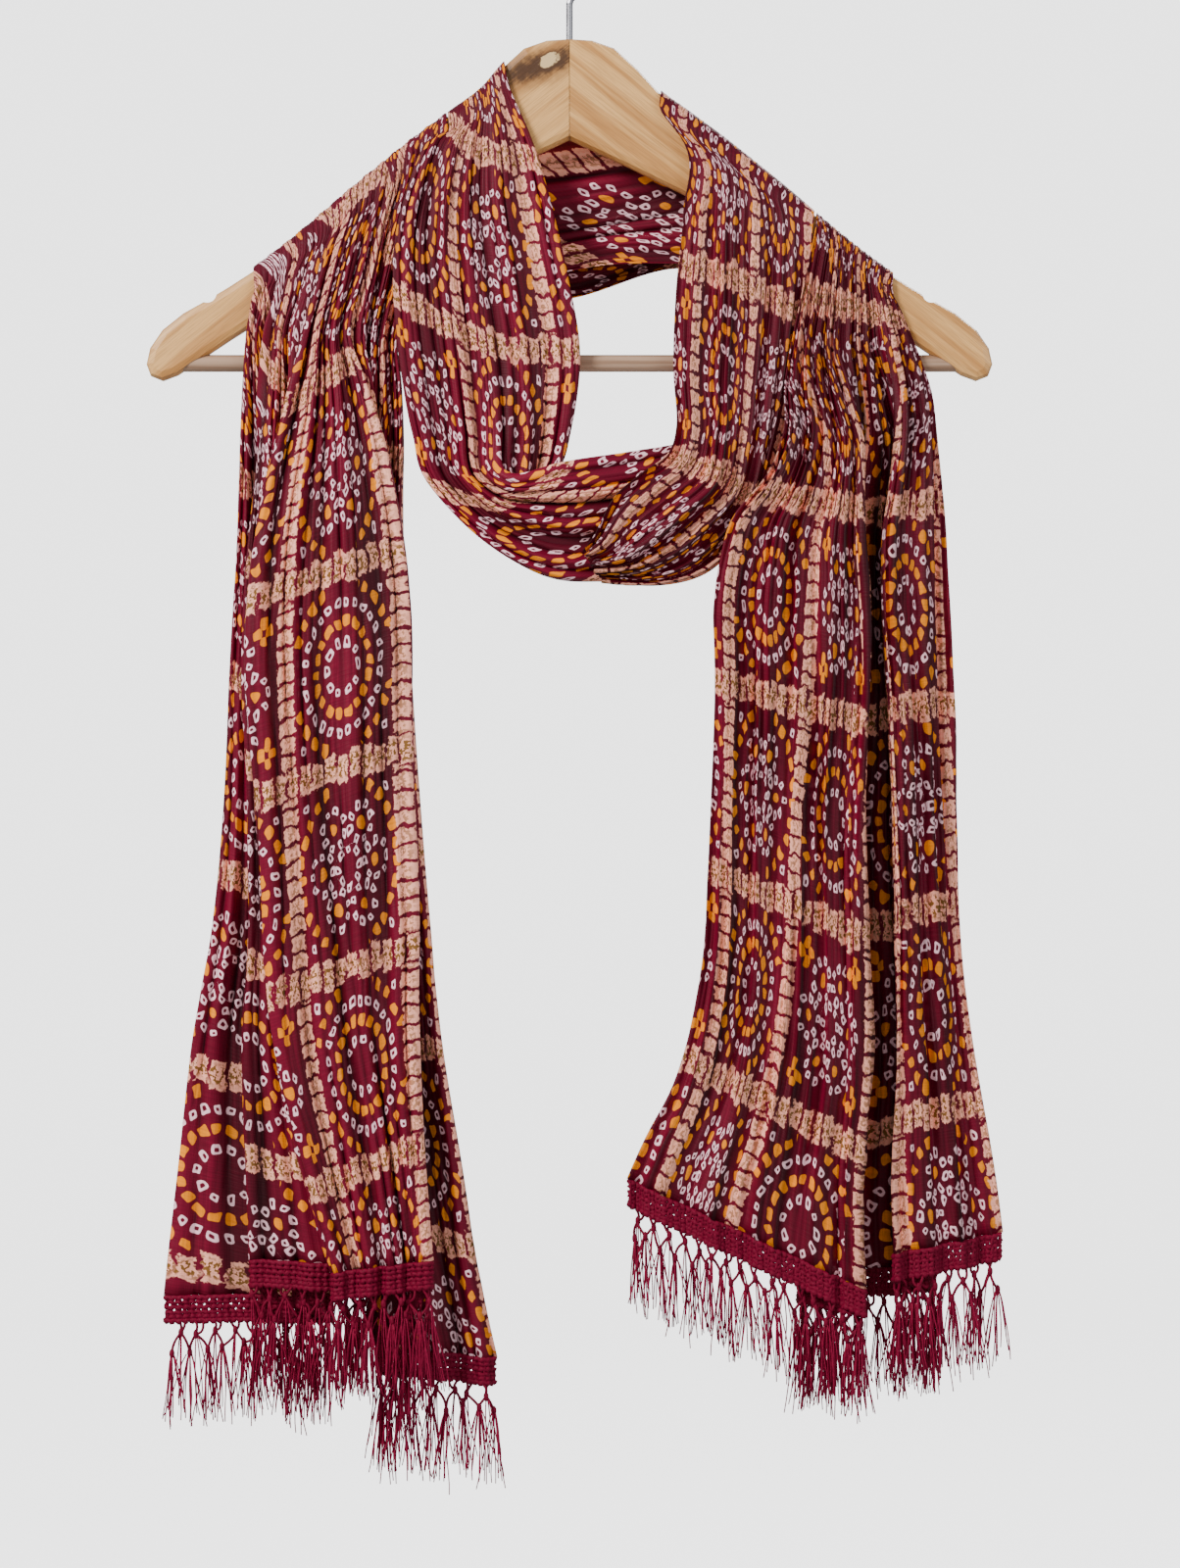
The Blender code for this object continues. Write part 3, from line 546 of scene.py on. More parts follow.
LEFT_OUTLINE = (
    (-180.0, -166.0, -84.0),
    (-225.0, -170.0, -88.0),
    (-245.0, -171.0, -86.0),
    (-323.0, -173.5, -86.0),
    (-400.0, -178.0, -82.0),
    (-462.0, -181.0, -78.0),
    (-524.0, -186.5, -73.0),
    (-586.0, -197.0, -67.0),
    (-648.0, -204.0, -57.0),
    (-710.0, -211.0, -47.0),
    (-755.0, -215.0, -37.0),
)
RIGHT_OUTLINE = (
    (-180.0, 122.0, 169.0),
    (-210.0, 118.0, 177.0),
    (-245.0, 112.0, 189.5),
    (-268.0, 111.5, 192.5),
    (-283.0, 108.0, 194.0),
    (-307.0, 88.0, 196.5),
    (-348.0, 76.0, 199.0),
    (-400.0, 75.5, 201.0),
    (-477.0, 73.0, 203.0),
    (-555.0, 67.5, 208.5),
    (-606.0, 55.0, 215.0),
    (-655.0, 31.0, 223.0),
    (-730.0, 22.0, 232.0),
)
LEFT_LEVELS = (-215.0, -330.0, -465.0)
RIGHT_LEVELS = (-222.0, -296.0, -480.0)
LEFT_FOLDS = (
    (0.00, (0.98, 0.99, 1.00, 1.00), (-10.0, -10.0, -10.0, -10.0), -752.0),
    (0.20, (0.80, 0.70, 0.60, 0.64), (-10.5, -11.0, -11.0, -11.0), -746.0),
    (0.33, (0.66, 0.98, 0.97, 0.87), (-16.5, -24.0, -26.0, -30.0), -698.0),
    (0.58, (0.40, 0.12, 0.16, 0.54), (-24.0, -30.0, -31.0, -32.0), -704.0),
    (0.66, (0.30, 0.42, 0.42, 0.69), (-16.5, -22.0, -23.0, -24.0), -702.0),
    (0.80, (0.17, 0.05, 0.12, 0.26), (-16.0, -18.5, -19.0, -18.5), -699.0),
    (0.87, (0.11, 0.26, 0.32, 0.54), (-11.0, -12.0, -13.0, -13.0), -719.0),
    (1.00, (0.00, 0.00, 0.00, 0.00), (-9.5, -10.0, -10.0, -9.0), -719.0),
)
RIGHT_FOLDS = (
    (0.00, (0.00, 0.00, 0.00, 0.00), (-19.0, -29.0, -18.0, -13.0), -658.0),
    (0.38, (0.36, 0.58, 0.62, 0.635), (-22.0, -33.0, -33.0, -33.0), -713.0),
    (0.50, (0.48, 0.42, 0.43, 0.46), (-15.0, -19.0, -16.0, -15.0), -708.0),
    (0.70, (0.68, 0.84, 0.86, 0.83), (-11.0, -9.5, -9.0, -8.5), -703.0),
    (0.80, (0.78, 0.69, 0.71, 0.70), (-19.0, -27.0, -28.5, -28.5), -695.0),
    (1.00, (1.00, 1.00, 1.00, 1.00), (-9.0, -12.0, -13.0, -13.0), -686.0),
)
LEFT_CREST = (-63.6, -165.0)
RIGHT_CREST = (129.0, 169.0)
LEFT_LADDERS = (
    (0.0, (-0.68, -0.28, 0.12, 0.52, 0.92, 1.32)),
    (0.34, (-0.005, 0.17, 0.345, 0.52, 0.695, 0.87)),
)
RIGHT_LADDERS = (
    (0.0, (-1.09, -0.54, 0.01, 0.556, 1.10, 1.65)),
    (0.34, (0.032, 0.252, 0.386, 0.556, 0.776, 0.970)),
    (1.0, (0.055, 0.16, 0.374, 0.556, 0.826, 1.0)),
)
LEFT_SHIFT_AT = (0.0, 0.33, 0.58, 0.8, 0.87, 1.0)
LEFT_SHIFT = (0.0, 0.0, 17.0, 8.0, -43.0, -60.0)


def smooth_curve(knots, values, at):
    """Values at the given places: a cubic through the knots with slopes from their neighbours."""
    knots = np.asarray(knots, float)
    values = np.asarray(values, float)
    at = np.clip(np.asarray(at, float), knots[0], knots[-1])
    slopes = np.gradient(values, knots, axis=0)
    span = np.clip(np.searchsorted(knots, at, side="right") - 1, 0, len(knots) - 2)
    shape = (-1,) + (1,) * (values.ndim - 1)
    width = (knots[span + 1] - knots[span]).reshape(shape)
    t = ((at - knots[span]) / (knots[span + 1] - knots[span])).reshape(shape)
    keep = 2 * t**3 - 3 * t**2 + 1
    lean = (t**3 - 2 * t**2 + t) * width * slopes[span] + (t**3 - t**2) * width * slopes[span + 1]
    return keep * values[span] + (1 - keep) * values[span + 1] + lean


def board_top_height(x):
    """Height of the board's upper edge."""
    return smooth_curve(*BOARD_TOP, np.abs(x))


def crest_rows(crest, columns, count=CREST_ROWS):
    """Rows over the board's edge: a half ellipse square to the edge, from back to front."""
    x = crest[0] + (crest[1] - crest[0]) * columns
    edge = board_top_height(x)
    slope = (board_top_height(x + 2.0) - board_top_height(x - 2.0)) / 4.0
    size = np.sqrt(1.0 + slope**2)
    angle = np.linspace(math.pi, 0.0, count)[:, None]
    lift = CREST_LIFT * np.sin(angle)
    height = edge + lift / size - CREST_DROP * (1.0 - np.sin(angle))
    depth = -CREST_HALF_DEPTH * np.cos(angle) + 0.0 * height
    return np.stack([x - lift * slope / size, depth, height], axis=2)


def cloth_columns(shares, count):
    """Places across the cloth: evenly spread in each panel, with three at each turned fold."""
    columns = []
    for i in range(len(shares) - 1):
        low = shares[i] + (TURN_SHARE if i > 0 else 0.0)
        high = shares[i + 1] - (TURN_SHARE if i + 2 < len(shares) else 0.0)
        number = max(3, round((shares[i + 1] - shares[i]) * count)) + 1
        columns.append(np.linspace(low, high, number))
        if i + 2 < len(shares):
            columns.append([shares[i + 1]])
    return np.concatenate(columns)


def split_turns(lines, shares, amounts):
    """Give each inner fold line two sides and a tip, as far as it is turned."""
    parts = [lines[0]]
    places = [shares[0]]
    turned = np.asarray(amounts)[:, None]
    for i in range(1, len(lines) - 1):
        before, fold, after = lines[i - 1], lines[i], lines[i + 1]
        behind = np.sign(np.mean(before[:, 1] - after[:, 1]))
        outward = np.sign(np.mean(2 * fold[:, 0] - before[:, 0] - after[:, 0]))
        for side, other, gap in (
            (1.0, before, shares[i] - shares[i - 1]),
            (0.0, fold, 1.0),
            (-1.0, after, shares[i + 1] - shares[i]),
        ):
            flat = fold + (other - fold) * TURN_SHARE / gap
            shift = np.array([-abs(side) * outward, side * behind, 0.0]) * TURN_GAP / 2
            parts.append(flat * (1.0 - turned) + (fold + shift) * turned)
            places.append(shares[i] - side * TURN_SHARE)
    parts.append(lines[-1])
    places.append(shares[-1])
    return np.array(parts), np.array(places)


def spread_across(parts, places, columns):
    """Rows of points between the fold lines, straight across each panel."""
    span = np.clip(np.searchsorted(places, columns, side="right") - 1, 0, len(places) - 2)
    share = (columns - places[span]) / (places[span + 1] - places[span])
    share = np.clip(share, 0.0, 1.0)[:, None, None]
    return (parts[span] * (1.0 - share) + parts[span + 1] * share).swapaxes(0, 1)


def resample(rows, first_free, count):
    """Keep the first rows and spread the rest evenly along the cloth."""
    steps = np.linalg.norm(np.diff(rows, axis=0), axis=2).mean(axis=1)
    knots = np.concatenate([[0.0], np.cumsum(steps)])
    at = np.concatenate([knots[:first_free], np.linspace(knots[first_free], knots[-1], count)])
    return smooth_curve(knots, rows, at)


def soften(rows, passes, axis=1):
    """Average each point with its neighbours along an axis, leaving the border where it is."""
    rows = np.swapaxes(rows.copy(), 0, axis)
    for _ in range(passes):
        rows[1:-1] = (rows[:-2] + 2 * rows[1:-1] + rows[2:]) / 4
    return np.swapaxes(rows, 0, axis)


def normals_of(rows):
    """Unit normals of a grid of points."""
    normal = np.cross(np.gradient(rows, axis=0), np.gradient(rows, axis=1))
    return normal / np.maximum(np.linalg.norm(normal, axis=2, keepdims=True), 1e-9)


def wander(u, v, seed, scale_u, scale_v):
    """A smooth uneven field from -1 to 1: five sine waves of seeded lengths and directions."""
    draw = np.random.default_rng(seed)
    field = np.zeros(np.broadcast(u, v).shape)
    for _ in range(5):
        a, b, c = draw.uniform(0.4, 1.3), draw.uniform(-1.2, 1.2), draw.uniform(0.0, 2 * math.pi)
        field += np.sin(2 * math.pi * (a * u / scale_u + b * v / scale_v) + c)
    return field / 3.2


def ridges(place, width):
    """Rounded ridges with sharp valleys, from -1 to 1: the sine's absolute value, fattened."""
    return 2.0 * np.abs(np.sin(math.pi * place / width)) ** 0.7 - 1.0


def crinkle(u, v, seed):
    """Heights from -1 to 1 of pleats of 13 mm, of pleats of 5 mm and of soft waves of 36 mm.

    All their lines drift and fade along the cloth.
    """
    big = ridges(u + 3.4 * wander(u, v, seed, 60.0, 260.0), PLEAT)
    strong = np.clip(0.55 + 0.55 * wander(u, v, seed + 1, 45.0, 190.0), 0.05, 1.0)
    small = ridges(u + 1.9 * wander(u, v, seed + 2, 22.0, 120.0), SMALL_PLEAT)
    clear = np.clip(0.55 + 0.5 * wander(u, v, seed + 3, 30.0, 90.0), 0.08, 1.0)
    broad = np.sin(2 * math.pi * (u + 9.0 * wander(u, v, seed + 4, 90.0, 330.0)) / WAVE)
    return big * strong, small * clear, broad


def shell_mesh(name, rows, print_u, print_v, fold):
    """A closed thin sheet over a grid in mm: front, back and rim, with UV and fold values."""
    normal = normals_of(rows)
    count, width = rows.shape[:2]
    half = normal * SHELL / 2
    points = np.stack([rows - half, rows + half]) * MM
    index = np.arange(count * width).reshape(count, width)
    other = index + count * width
    front = np.stack([index[:-1, :-1], index[:-1, 1:], index[1:, 1:], index[1:, :-1]], axis=-1)
    back = np.stack([other[:-1, :-1], other[1:, :-1], other[1:, 1:], other[:-1, 1:]], axis=-1)
    ring = np.concatenate([index[0, :-1], index[:-1, -1], index[-1, :0:-1], index[:0:-1, 0]])
    after = np.roll(ring, -1)
    rim = np.stack([ring, ring + count * width, after + count * width, after], axis=-1)
    faces = np.concatenate([front.reshape(-1, 4), back.reshape(-1, 4), rim])
    mesh = new_mesh(name, points, faces.tolist(), printed)
    mesh.shade_smooth()
    place = np.tile(np.stack([print_u.ravel(), print_v.ravel()], axis=1), (2, 1))
    layer = mesh.uv_layers.new(name="print")
    corners = np.empty(len(mesh.loops), np.int32)
    mesh.loops.foreach_get("vertex_index", corners)
    layer.data.foreach_set("uv", place[corners].astype(np.float32).ravel())
    marks = mesh.attributes.new("fold", "FLOAT", "POINT")
    marks.data.foreach_set("value", np.tile(fold.ravel(), 2).astype(np.float32))
    return mesh


def distances(rows):
    """How far each point lies along the cloth from the first row, and from the last one."""
    steps = np.linalg.norm(np.diff(rows, axis=0), axis=2)
    run = np.concatenate([np.zeros((1, rows.shape[1])), np.cumsum(steps, axis=0)])
    return run, run[-1] - run


def hang_sheet(name, rows, columns, seed, width, ladders, lay, fade, crease):
    """Crinkle a grid, lay the print on it and make the piece.

    ladders are the shares of the width at which the printed ladders lie, each row of them at its
    share of the way down. lay is the place along the print, fade the strength of the crinkle
    before it is kept from 0 to 1.45, and crease the height of the pleats, big and small.
    """
    run, to_end = distances(rows)
    big, small, broad = crinkle(columns * width + 0.0 * run, to_end, seed)
    rise = np.clip(fade, 0.0, 1.45)
    height = crease[0] * (big + 0.8 * broad) * rise + crease[1] * small * (0.3 + 0.7 * rise)
    rows = rows - soften(soften(normals_of(rows), 6), 3, axis=0) * height[:, :, None]
    # fold: the crinkle's height from 0 to 1, kept for the cloth material's painted shade in the
    # valleys and painted light on the ridges.
    fold = np.clip(0.58 + (0.34 * big + 0.22 * broad) * rise + 0.22 * small, 0.0, 1.0)
    down = np.linspace(0.0, 1.0, len(rows))[:, None]
    stations = [row[0] for row in ladders]
    across = 0.0
    for number, (_, marks) in enumerate(ladders):
        share = np.interp(down, stations, np.eye(len(stations))[number])
        marks = np.array([marks[0] - 1.0, *marks, marks[-1] + 1.0])
        places = np.arange(-1.0, len(marks) - 1.0) * CELL_ACROSS * MM
        step = (places[-2] - places[1]) / (marks[-2] - marks[1])
        places[[0, -1]] = places[1] - step, places[-2] + step
        across = across + share * np.interp(columns, marks, places)
    along = (lay + 0.0 * run) * MM
    return add_object(name, shell_mesh(name, rows, across, along, fold)), rows


def tail_grid(outline, levels, folds, crest):
    """A whole tail as a grid: over the board, down the shoulder and on to the hem."""
    shares = [fold[0] for fold in folds]
    columns = cloth_columns(shares, TAIL_ACROSS)
    table = np.array(outline)[::-1]
    mean_hem = np.mean([fold[3] for fold in folds])
    top = levels[0]
    stations = [(level - top) / (mean_hem - top) for level in levels] + [1.0]
    at = np.linspace(0.0, 1.0, 20)
    lines = []
    for _, places, depths, hem in folds:
        height = top + (hem - top) * at
        left, right = smooth_curve(table[:, 0], table[:, 1:], height).T
        x = left + (right - left) * smooth_curve(stations, places, at)
        lines.append(np.stack([x, smooth_curve(stations, depths, at), height], axis=1))
    parts, places = split_turns(lines, shares, np.clip(np.linspace(0.0, 5.0, 20), 0.0, 1.0))
    over = crest_rows(crest, columns)
    body = spread_across(parts, places, columns)
    bridge = [over[-1] + (body[0] - over[-1]) * share for share in (1.0 / 3.0, 2.0 / 3.0)]
    rows = resample(np.concatenate([over, bridge, body]), len(over) - 1, TAIL_ALONG)
    return soften(rows, 10), columns


tails = {}
for side, outline, levels, folds, crest, seed, ladders in (
    ("left", LEFT_OUTLINE, LEFT_LEVELS, LEFT_FOLDS, LEFT_CREST, 3, LEFT_LADDERS),
    ("right", RIGHT_OUTLINE, RIGHT_LEVELS, RIGHT_FOLDS, RIGHT_CREST, 11, RIGHT_LADDERS),
):
    rows, columns = tail_grid(outline, levels, folds, crest)
    run, to_end = distances(rows)
    # The print is laid up from the hem: on the left shifted from fold to fold, on the right by
    # the mean of each row and drawn out a little.
    lay = to_end + 43.0 + np.interp(columns, LEFT_SHIFT_AT, LEFT_SHIFT)
    if side == "right":
        lay = (to_end.mean(axis=1, keepdims=True) + 36.7) * 0.965
    # No crinkle at the board's back edge, full crinkle 86 mm along the cloth from there.
    fade = 0.12 + run / 80.0 - 0.2
    tail, hem_rows = hang_sheet(
        f"{side}_tail_cloth", rows, columns, seed, TAIL_WIDTH, ladders, lay, fade, TAIL_CREASE
    )
    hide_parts(f"{side}_tail")
    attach(tail, "root")
    tails[side] = tail, hem_rows


# Loop: the stretch that hangs in front like a collar. It comes over the right arm beside the
# neck, turns at the bottom and goes back over the left arm. Its left half runs under the right.
LOOP_ACROSS = 270
LOOP_ALONG = 90
LOOP_WIDTH = 165.0
LOOP_CREASE = (2.0, 0.50)
LOOP_LEFT = (
    ((-21.0, -11.0, -111.0), (-47.0, -14.0, -116.0), (-74.0, -19.5, -117.0)),
    ((-12.0, -12.0, -139.5), (-48.5, -17.0, -150.0), (-88.0, -22.0, -155.0)),
    ((-0.5, -13.0, -188.5), (-44.5, -19.0, -193.5), (-91.5, -23.0, -194.0)),
    ((5.5, -13.0, -230.0), (-39.0, -20.0, -235.0), (-87.0, -23.0, -240.0)),
    ((1.5, -13.0, -263.5), (-36.5, -22.0, -266.0), (-81.0, -22.0, -271.0)),
    ((-4.5, -11.0, -285.5), (-34.5, -24.0, -289.0), (-73.0, -22.0, -295.5)),
    ((-14.0, -12.0, -300.0), (-26.0, -26.0, -293.0), (-53.0, -21.0, -317.5)),
    ((-2.0, -12.0, -299.0), (-3.0, -25.0, -286.0), (-18.5, -18.0, -341.0)),
    ((31.0, -7.0, -292.0), (30.5, -18.0, -279.0), (22.5, -13.0, -346.0)),
    ((60.0, -3.0, -286.0), (59.0, -11.0, -273.0), (61.5, -8.0, -345.0)),
)
LOOP_RIGHT = (
    ((60.0, -11.0, -116.0), (87.0, -14.0, -131.5), (127.0, -9.8, -168.0)),
    ((60.0, -12.0, -152.5), (88.0, -18.0, -168.0), (126.5, -10.0, -188.5)),
    ((56.0, -13.0, -193.5), (88.0, -21.0, -204.0), (123.0, -10.5, -214.0)),
    ((54.5, -14.0, -235.0), (86.0, -23.0, -242.5), (117.0, -12.0, -248.0)),
    ((56.0, -18.0, -266.0), (84.0, -25.0, -273.5), (110.0, -13.0, -279.0)),
    ((51.0, -22.0, -280.5), (79.0, -26.0, -297.0), (102.0, -13.0, -304.5)),
    ((36.5, -26.0, -291.5), (63.0, -27.0, -312.5), (89.0, -12.0, -325.0)),
    ((22.5, -27.0, -304.5), (44.0, -28.0, -328.0), (69.0, -18.0, -343.0)),
    ((13.5, -27.0, -322.5), (28.0, -28.0, -337.0), (45.0, -24.0, -348.5)),
    ((7.5, -24.0, -331.0), (11.5, -26.0, -339.0), (17.5, -23.0, -346.5)),
)
LOOP_LEFT_CREST = (-33.0, -62.9)
LOOP_RIGHT_CREST = (47.0, 127.5)
LOOP_SHARES = (0.0, 0.42, 1.0)


def loop_grid(sections, crest, turned):
    """One side of the loop as a grid: over the board and down to the bottom."""
    columns = cloth_columns(LOOP_SHARES, LOOP_ACROSS)
    lines = list(np.swapaxes(np.array(sections), 0, 1))
    amounts = np.clip(np.arange(len(sections)) - 4.0, 0.0, 2.0) / 2.0 * turned
    parts, places = split_turns(lines, LOOP_SHARES, amounts)
    over = crest_rows(crest, columns)
    rows = np.concatenate([over, spread_across(parts, places, columns)])
    return soften(resample(rows, len(over) - 1, LOOP_ALONG), 14), columns


for side, sections, crest, seed, marks, start, slant, flat in (
    ("left", LOOP_LEFT, LOOP_LEFT_CREST, 21, (0.142, 0.60, 1.05), 77.0, 50.0, (0.13, 0.33)),
    ("right", LOOP_RIGHT, LOOP_RIGHT_CREST, 31, (0.145, 0.555, 0.965), 15.0, 40.0, (0.13, 0.27)),
):
    rows, columns = loop_grid(sections, crest, side == "left")
    run, to_end = distances(rows)
    # The print is laid down from the board, slanting across.
    lay = run - start + slant * columns
    # Full crinkle 83 mm from the board's back, and deeper where the loop turns at the bottom.
    fade = np.clip((run - 28.0) / 55.0, 0.0, 1.0) + np.clip((run - 170.0) / 50.0, 0.0, 1.0) * 0.45
    name = f"loop_{side}_cloth"
    piece, _ = hang_sheet(
        name, rows, columns, seed, LOOP_WIDTH, [(0.0, marks)], lay, fade, LOOP_CREASE
    )
    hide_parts(f"loop_{side}")
    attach(piece, "root")


# Back bands: the two stretches of the stole that cross behind the board, from the back of one
# arm to the other's, and show in the notch of the neck. The one from the left tail lies in front.
BACK_ACROSS = 130
BACK_ALONG = 80
BACK_WIDTH = 110.0
BACK_CREASE = (1.2, 0.35)
BACK_FRONT = (
    ((-60.0, 10.5, -123.0), (-97.0, 14.0, -154.0), (-142.0, 12.5, -203.0)),
    ((-30.0, 12.0, -114.0), (-45.0, 17.5, -156.0), (-68.0, 15.0, -197.0)),
    ((12.0, 12.0, -107.0), (15.0, 18.5, -150.0), (18.0, 16.0, -176.5)),
    ((38.0, 11.5, -104.5), (56.0, 16.5, -140.0), (82.0, 14.0, -174.0)),
)
BACK_REAR = (
    ((-28.0, 22.0, -112.0), (-42.0, 25.5, -126.0), (-56.0, 22.0, -137.0)),
    ((-5.0, 29.0, -140.0), (-10.0, 33.0, -164.0), (-18.0, 30.0, -190.0)),
    ((52.0, 28.5, -143.0), (55.0, 33.0, -160.0), (60.0, 29.0, -176.0)),
    ((106.0, 21.0, -172.0), (118.0, 22.0, -182.0), (134.0, 20.0, -195.0)),
)
BACK_SHARES = (0.0, 0.5, 1.0)


def back_grid(sections, left_crest, right_crest):
    """One stretch behind the board as a grid, from the left arm's back to the right one's."""
    columns = cloth_columns(BACK_SHARES, BACK_ACROSS)
    lines = list(np.swapaxes(np.array(sections), 0, 1))
    parts, places = split_turns(lines, BACK_SHARES, np.zeros(len(sections)))
    start, end = (crest_rows(crest, columns, 1) for crest in (left_crest, right_crest))
    drop = np.array([0.0, 0.0, -0.7])
    turn = np.array([0.0, 0.0, -3.7])
    body = spread_across(parts, places, columns)
    rows = np.concatenate([start + drop, start + turn, body, end + turn, end + drop])
    return soften(resample(rows, 0, BACK_ALONG), 8), columns


for place, sections, crests, seed, marks, flat in (
    ("front", BACK_FRONT, (LEFT_CREST, LOOP_RIGHT_CREST), 41, (-0.85, 0.15, 1.15), (0.08, 0.27)),
    ("rear", BACK_REAR, (LOOP_LEFT_CREST, RIGHT_CREST), 51, (-0.2, 0.5, 1.2), (0.055, 0.25)),
):
    rows, columns = back_grid(sections, *crests)
    run, to_end = distances(rows)
    # The print is laid from the right arm, one cell on.
    lay = to_end - 16.0 + CELL_ALONG
    # Full crinkle 48 mm from either arm.
    fade = np.minimum(run, to_end) / 40.0 - 0.2
    name = f"back_band_{place}_cloth"
    piece, _ = hang_sheet(
        name, rows, columns, seed, BACK_WIDTH, [(0.0, marks)], lay, fade, BACK_CREASE
    )
    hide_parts(f"back_band_{place}")
    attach(piece, "root")


# Fringe: a crocheted heading of chain stitches and posts along each hem, a net of knotted
# diamonds below it, and a tassel of fine threads from each lower knot.
CHAINS = ((1.2, 1.5), (3.6, 1.2), (6.2, 1.35), (8.8, 1.2), (11.2, 1.3), (13.2, 1.6))
STITCH = 3.6
POSTS = ((1.2, 6.2), (6.2, 11.2), (9.5, 13.2))
POST_STEP = 2.3
POST_LEAN = 1.1
POST_RADIUS = 0.95
HEADING_END = 13.2
NET_STEP = 9.5
UPPER_DROP = 19.5
LOWER_DROP = 27.5
STRAND_RADIUS = 0.75
KNOT_HEIGHT = 2.4
KNOT_RADIUS = 1.45
LOWER_THREADS = 11
UPPER_THREADS = 3
THREAD_REACH = (31.0, 44.0)
THREAD_FAN = (3.8, 2.0)
YARN = ((0.075, 0.0, 0.009, 1.0), (0.300, 0.002, 0.040, 1.0), (0.150, 0.0, 0.020, 1.0))
# The loose threads are the heading's yarn painted about 1.7 times lighter: painted light, standing
# in for light that shines through and round the thin threads.
LIT_THREAD = ((0.150, 0.001, 0.022, 1.0), (0.510, 0.014, 0.082, 1.0), (0.270, 0.003, 0.038, 1.0))


def yarn_group():
    """The fine light and dark of twisted yarn, and broad patches of it."""
    marks = {"Twist": (900.0, 900.0, 700.0), "Patch": (60.0, 60.0, 60.0)}
    outputs = dict.fromkeys(marks, "Float")
    group, (place,), end = new_group("yarn_twist", {"Place": "Vector"}, outputs)
    for label, scale in marks.items():
        connect(group, noise(group, stretch(group, place, scale), 1.0, 2.0), end.inputs[label])
    return group


def yarn_material(name, group, dark, light, patch):
    """Crimson yarn between two colours, with patches of a third."""
    material, tree, shader = new_material(name)
    marks = use_group(tree, group, object_place(tree))
    colour = mix_colour(tree, marks["Twist"], dark, light)
    colour = mix_colour(tree, marks["Patch"] * 0.5, colour, patch)
    finish(tree, shader, colour, marks["Twist"] * 0.2 + 0.5)
    shader.inputs["Specular IOR Level"].default_value = 0.15
    bump(tree, shader, marks["Twist"], 0.0004, 0.8)
    return material


yarn_twist = yarn_group()
heading_yarn = yarn_material("heading_yarn", yarn_twist, *YARN)
# The loose threads' yarn is painted lighter than the heading's: painted light.
lit_loose_thread = yarn_material("lit_loose_thread", yarn_twist, *LIT_THREAD)


def unit(vectors):
    """Vectors of length 1."""
    return vectors / np.maximum(np.linalg.norm(vectors, axis=-1, keepdims=True), 1e-9)


def tube_faces(paths, radii, sides, upright=(0.0, 1.0, 0.0)):
    """Points and faces of closed round tubes: a ring of corners square to each path's points."""
    number, length = paths.shape[:2]
    forward = unit(np.gradient(paths, axis=1))
    first = unit(np.cross(forward, upright))
    second = np.cross(forward, first)
    angle = 2 * math.pi * np.arange(sides)[:, None] / sides
    ring = first[:, :, None] * np.cos(angle) + second[:, :, None] * np.sin(angle)
    radii = np.broadcast_to(radii, (number, length))[:, :, None, None]
    points = paths[:, :, None] + ring * radii
    index = np.arange(number * length * sides).reshape(number, length, sides)
    caps = [*index[:, 0, ::-1].tolist(), *index[:, -1].tolist()]
    return points.reshape(-1, 3), ring_walls(index) + caps


def join_tubes(name, parts):
    """One mesh of several sets of tubes. The last set is of loose thread."""
    faces = []
    start = 0
    for points, part_faces in parts:
        faces.extend([[corner + start for corner in face] for face in part_faces])
        start += len(points)
    points = np.concatenate([part[0] for part in parts]) * MM
    mesh = new_mesh(name, points, faces, heading_yarn, lit_loose_thread)
    mesh.shade_smooth()
    kinds = np.zeros(len(faces), np.int32)
    kinds[-len(parts[-1][1]) :] = 1
    mesh.polygons.foreach_set("material_index", kinds)
    return mesh


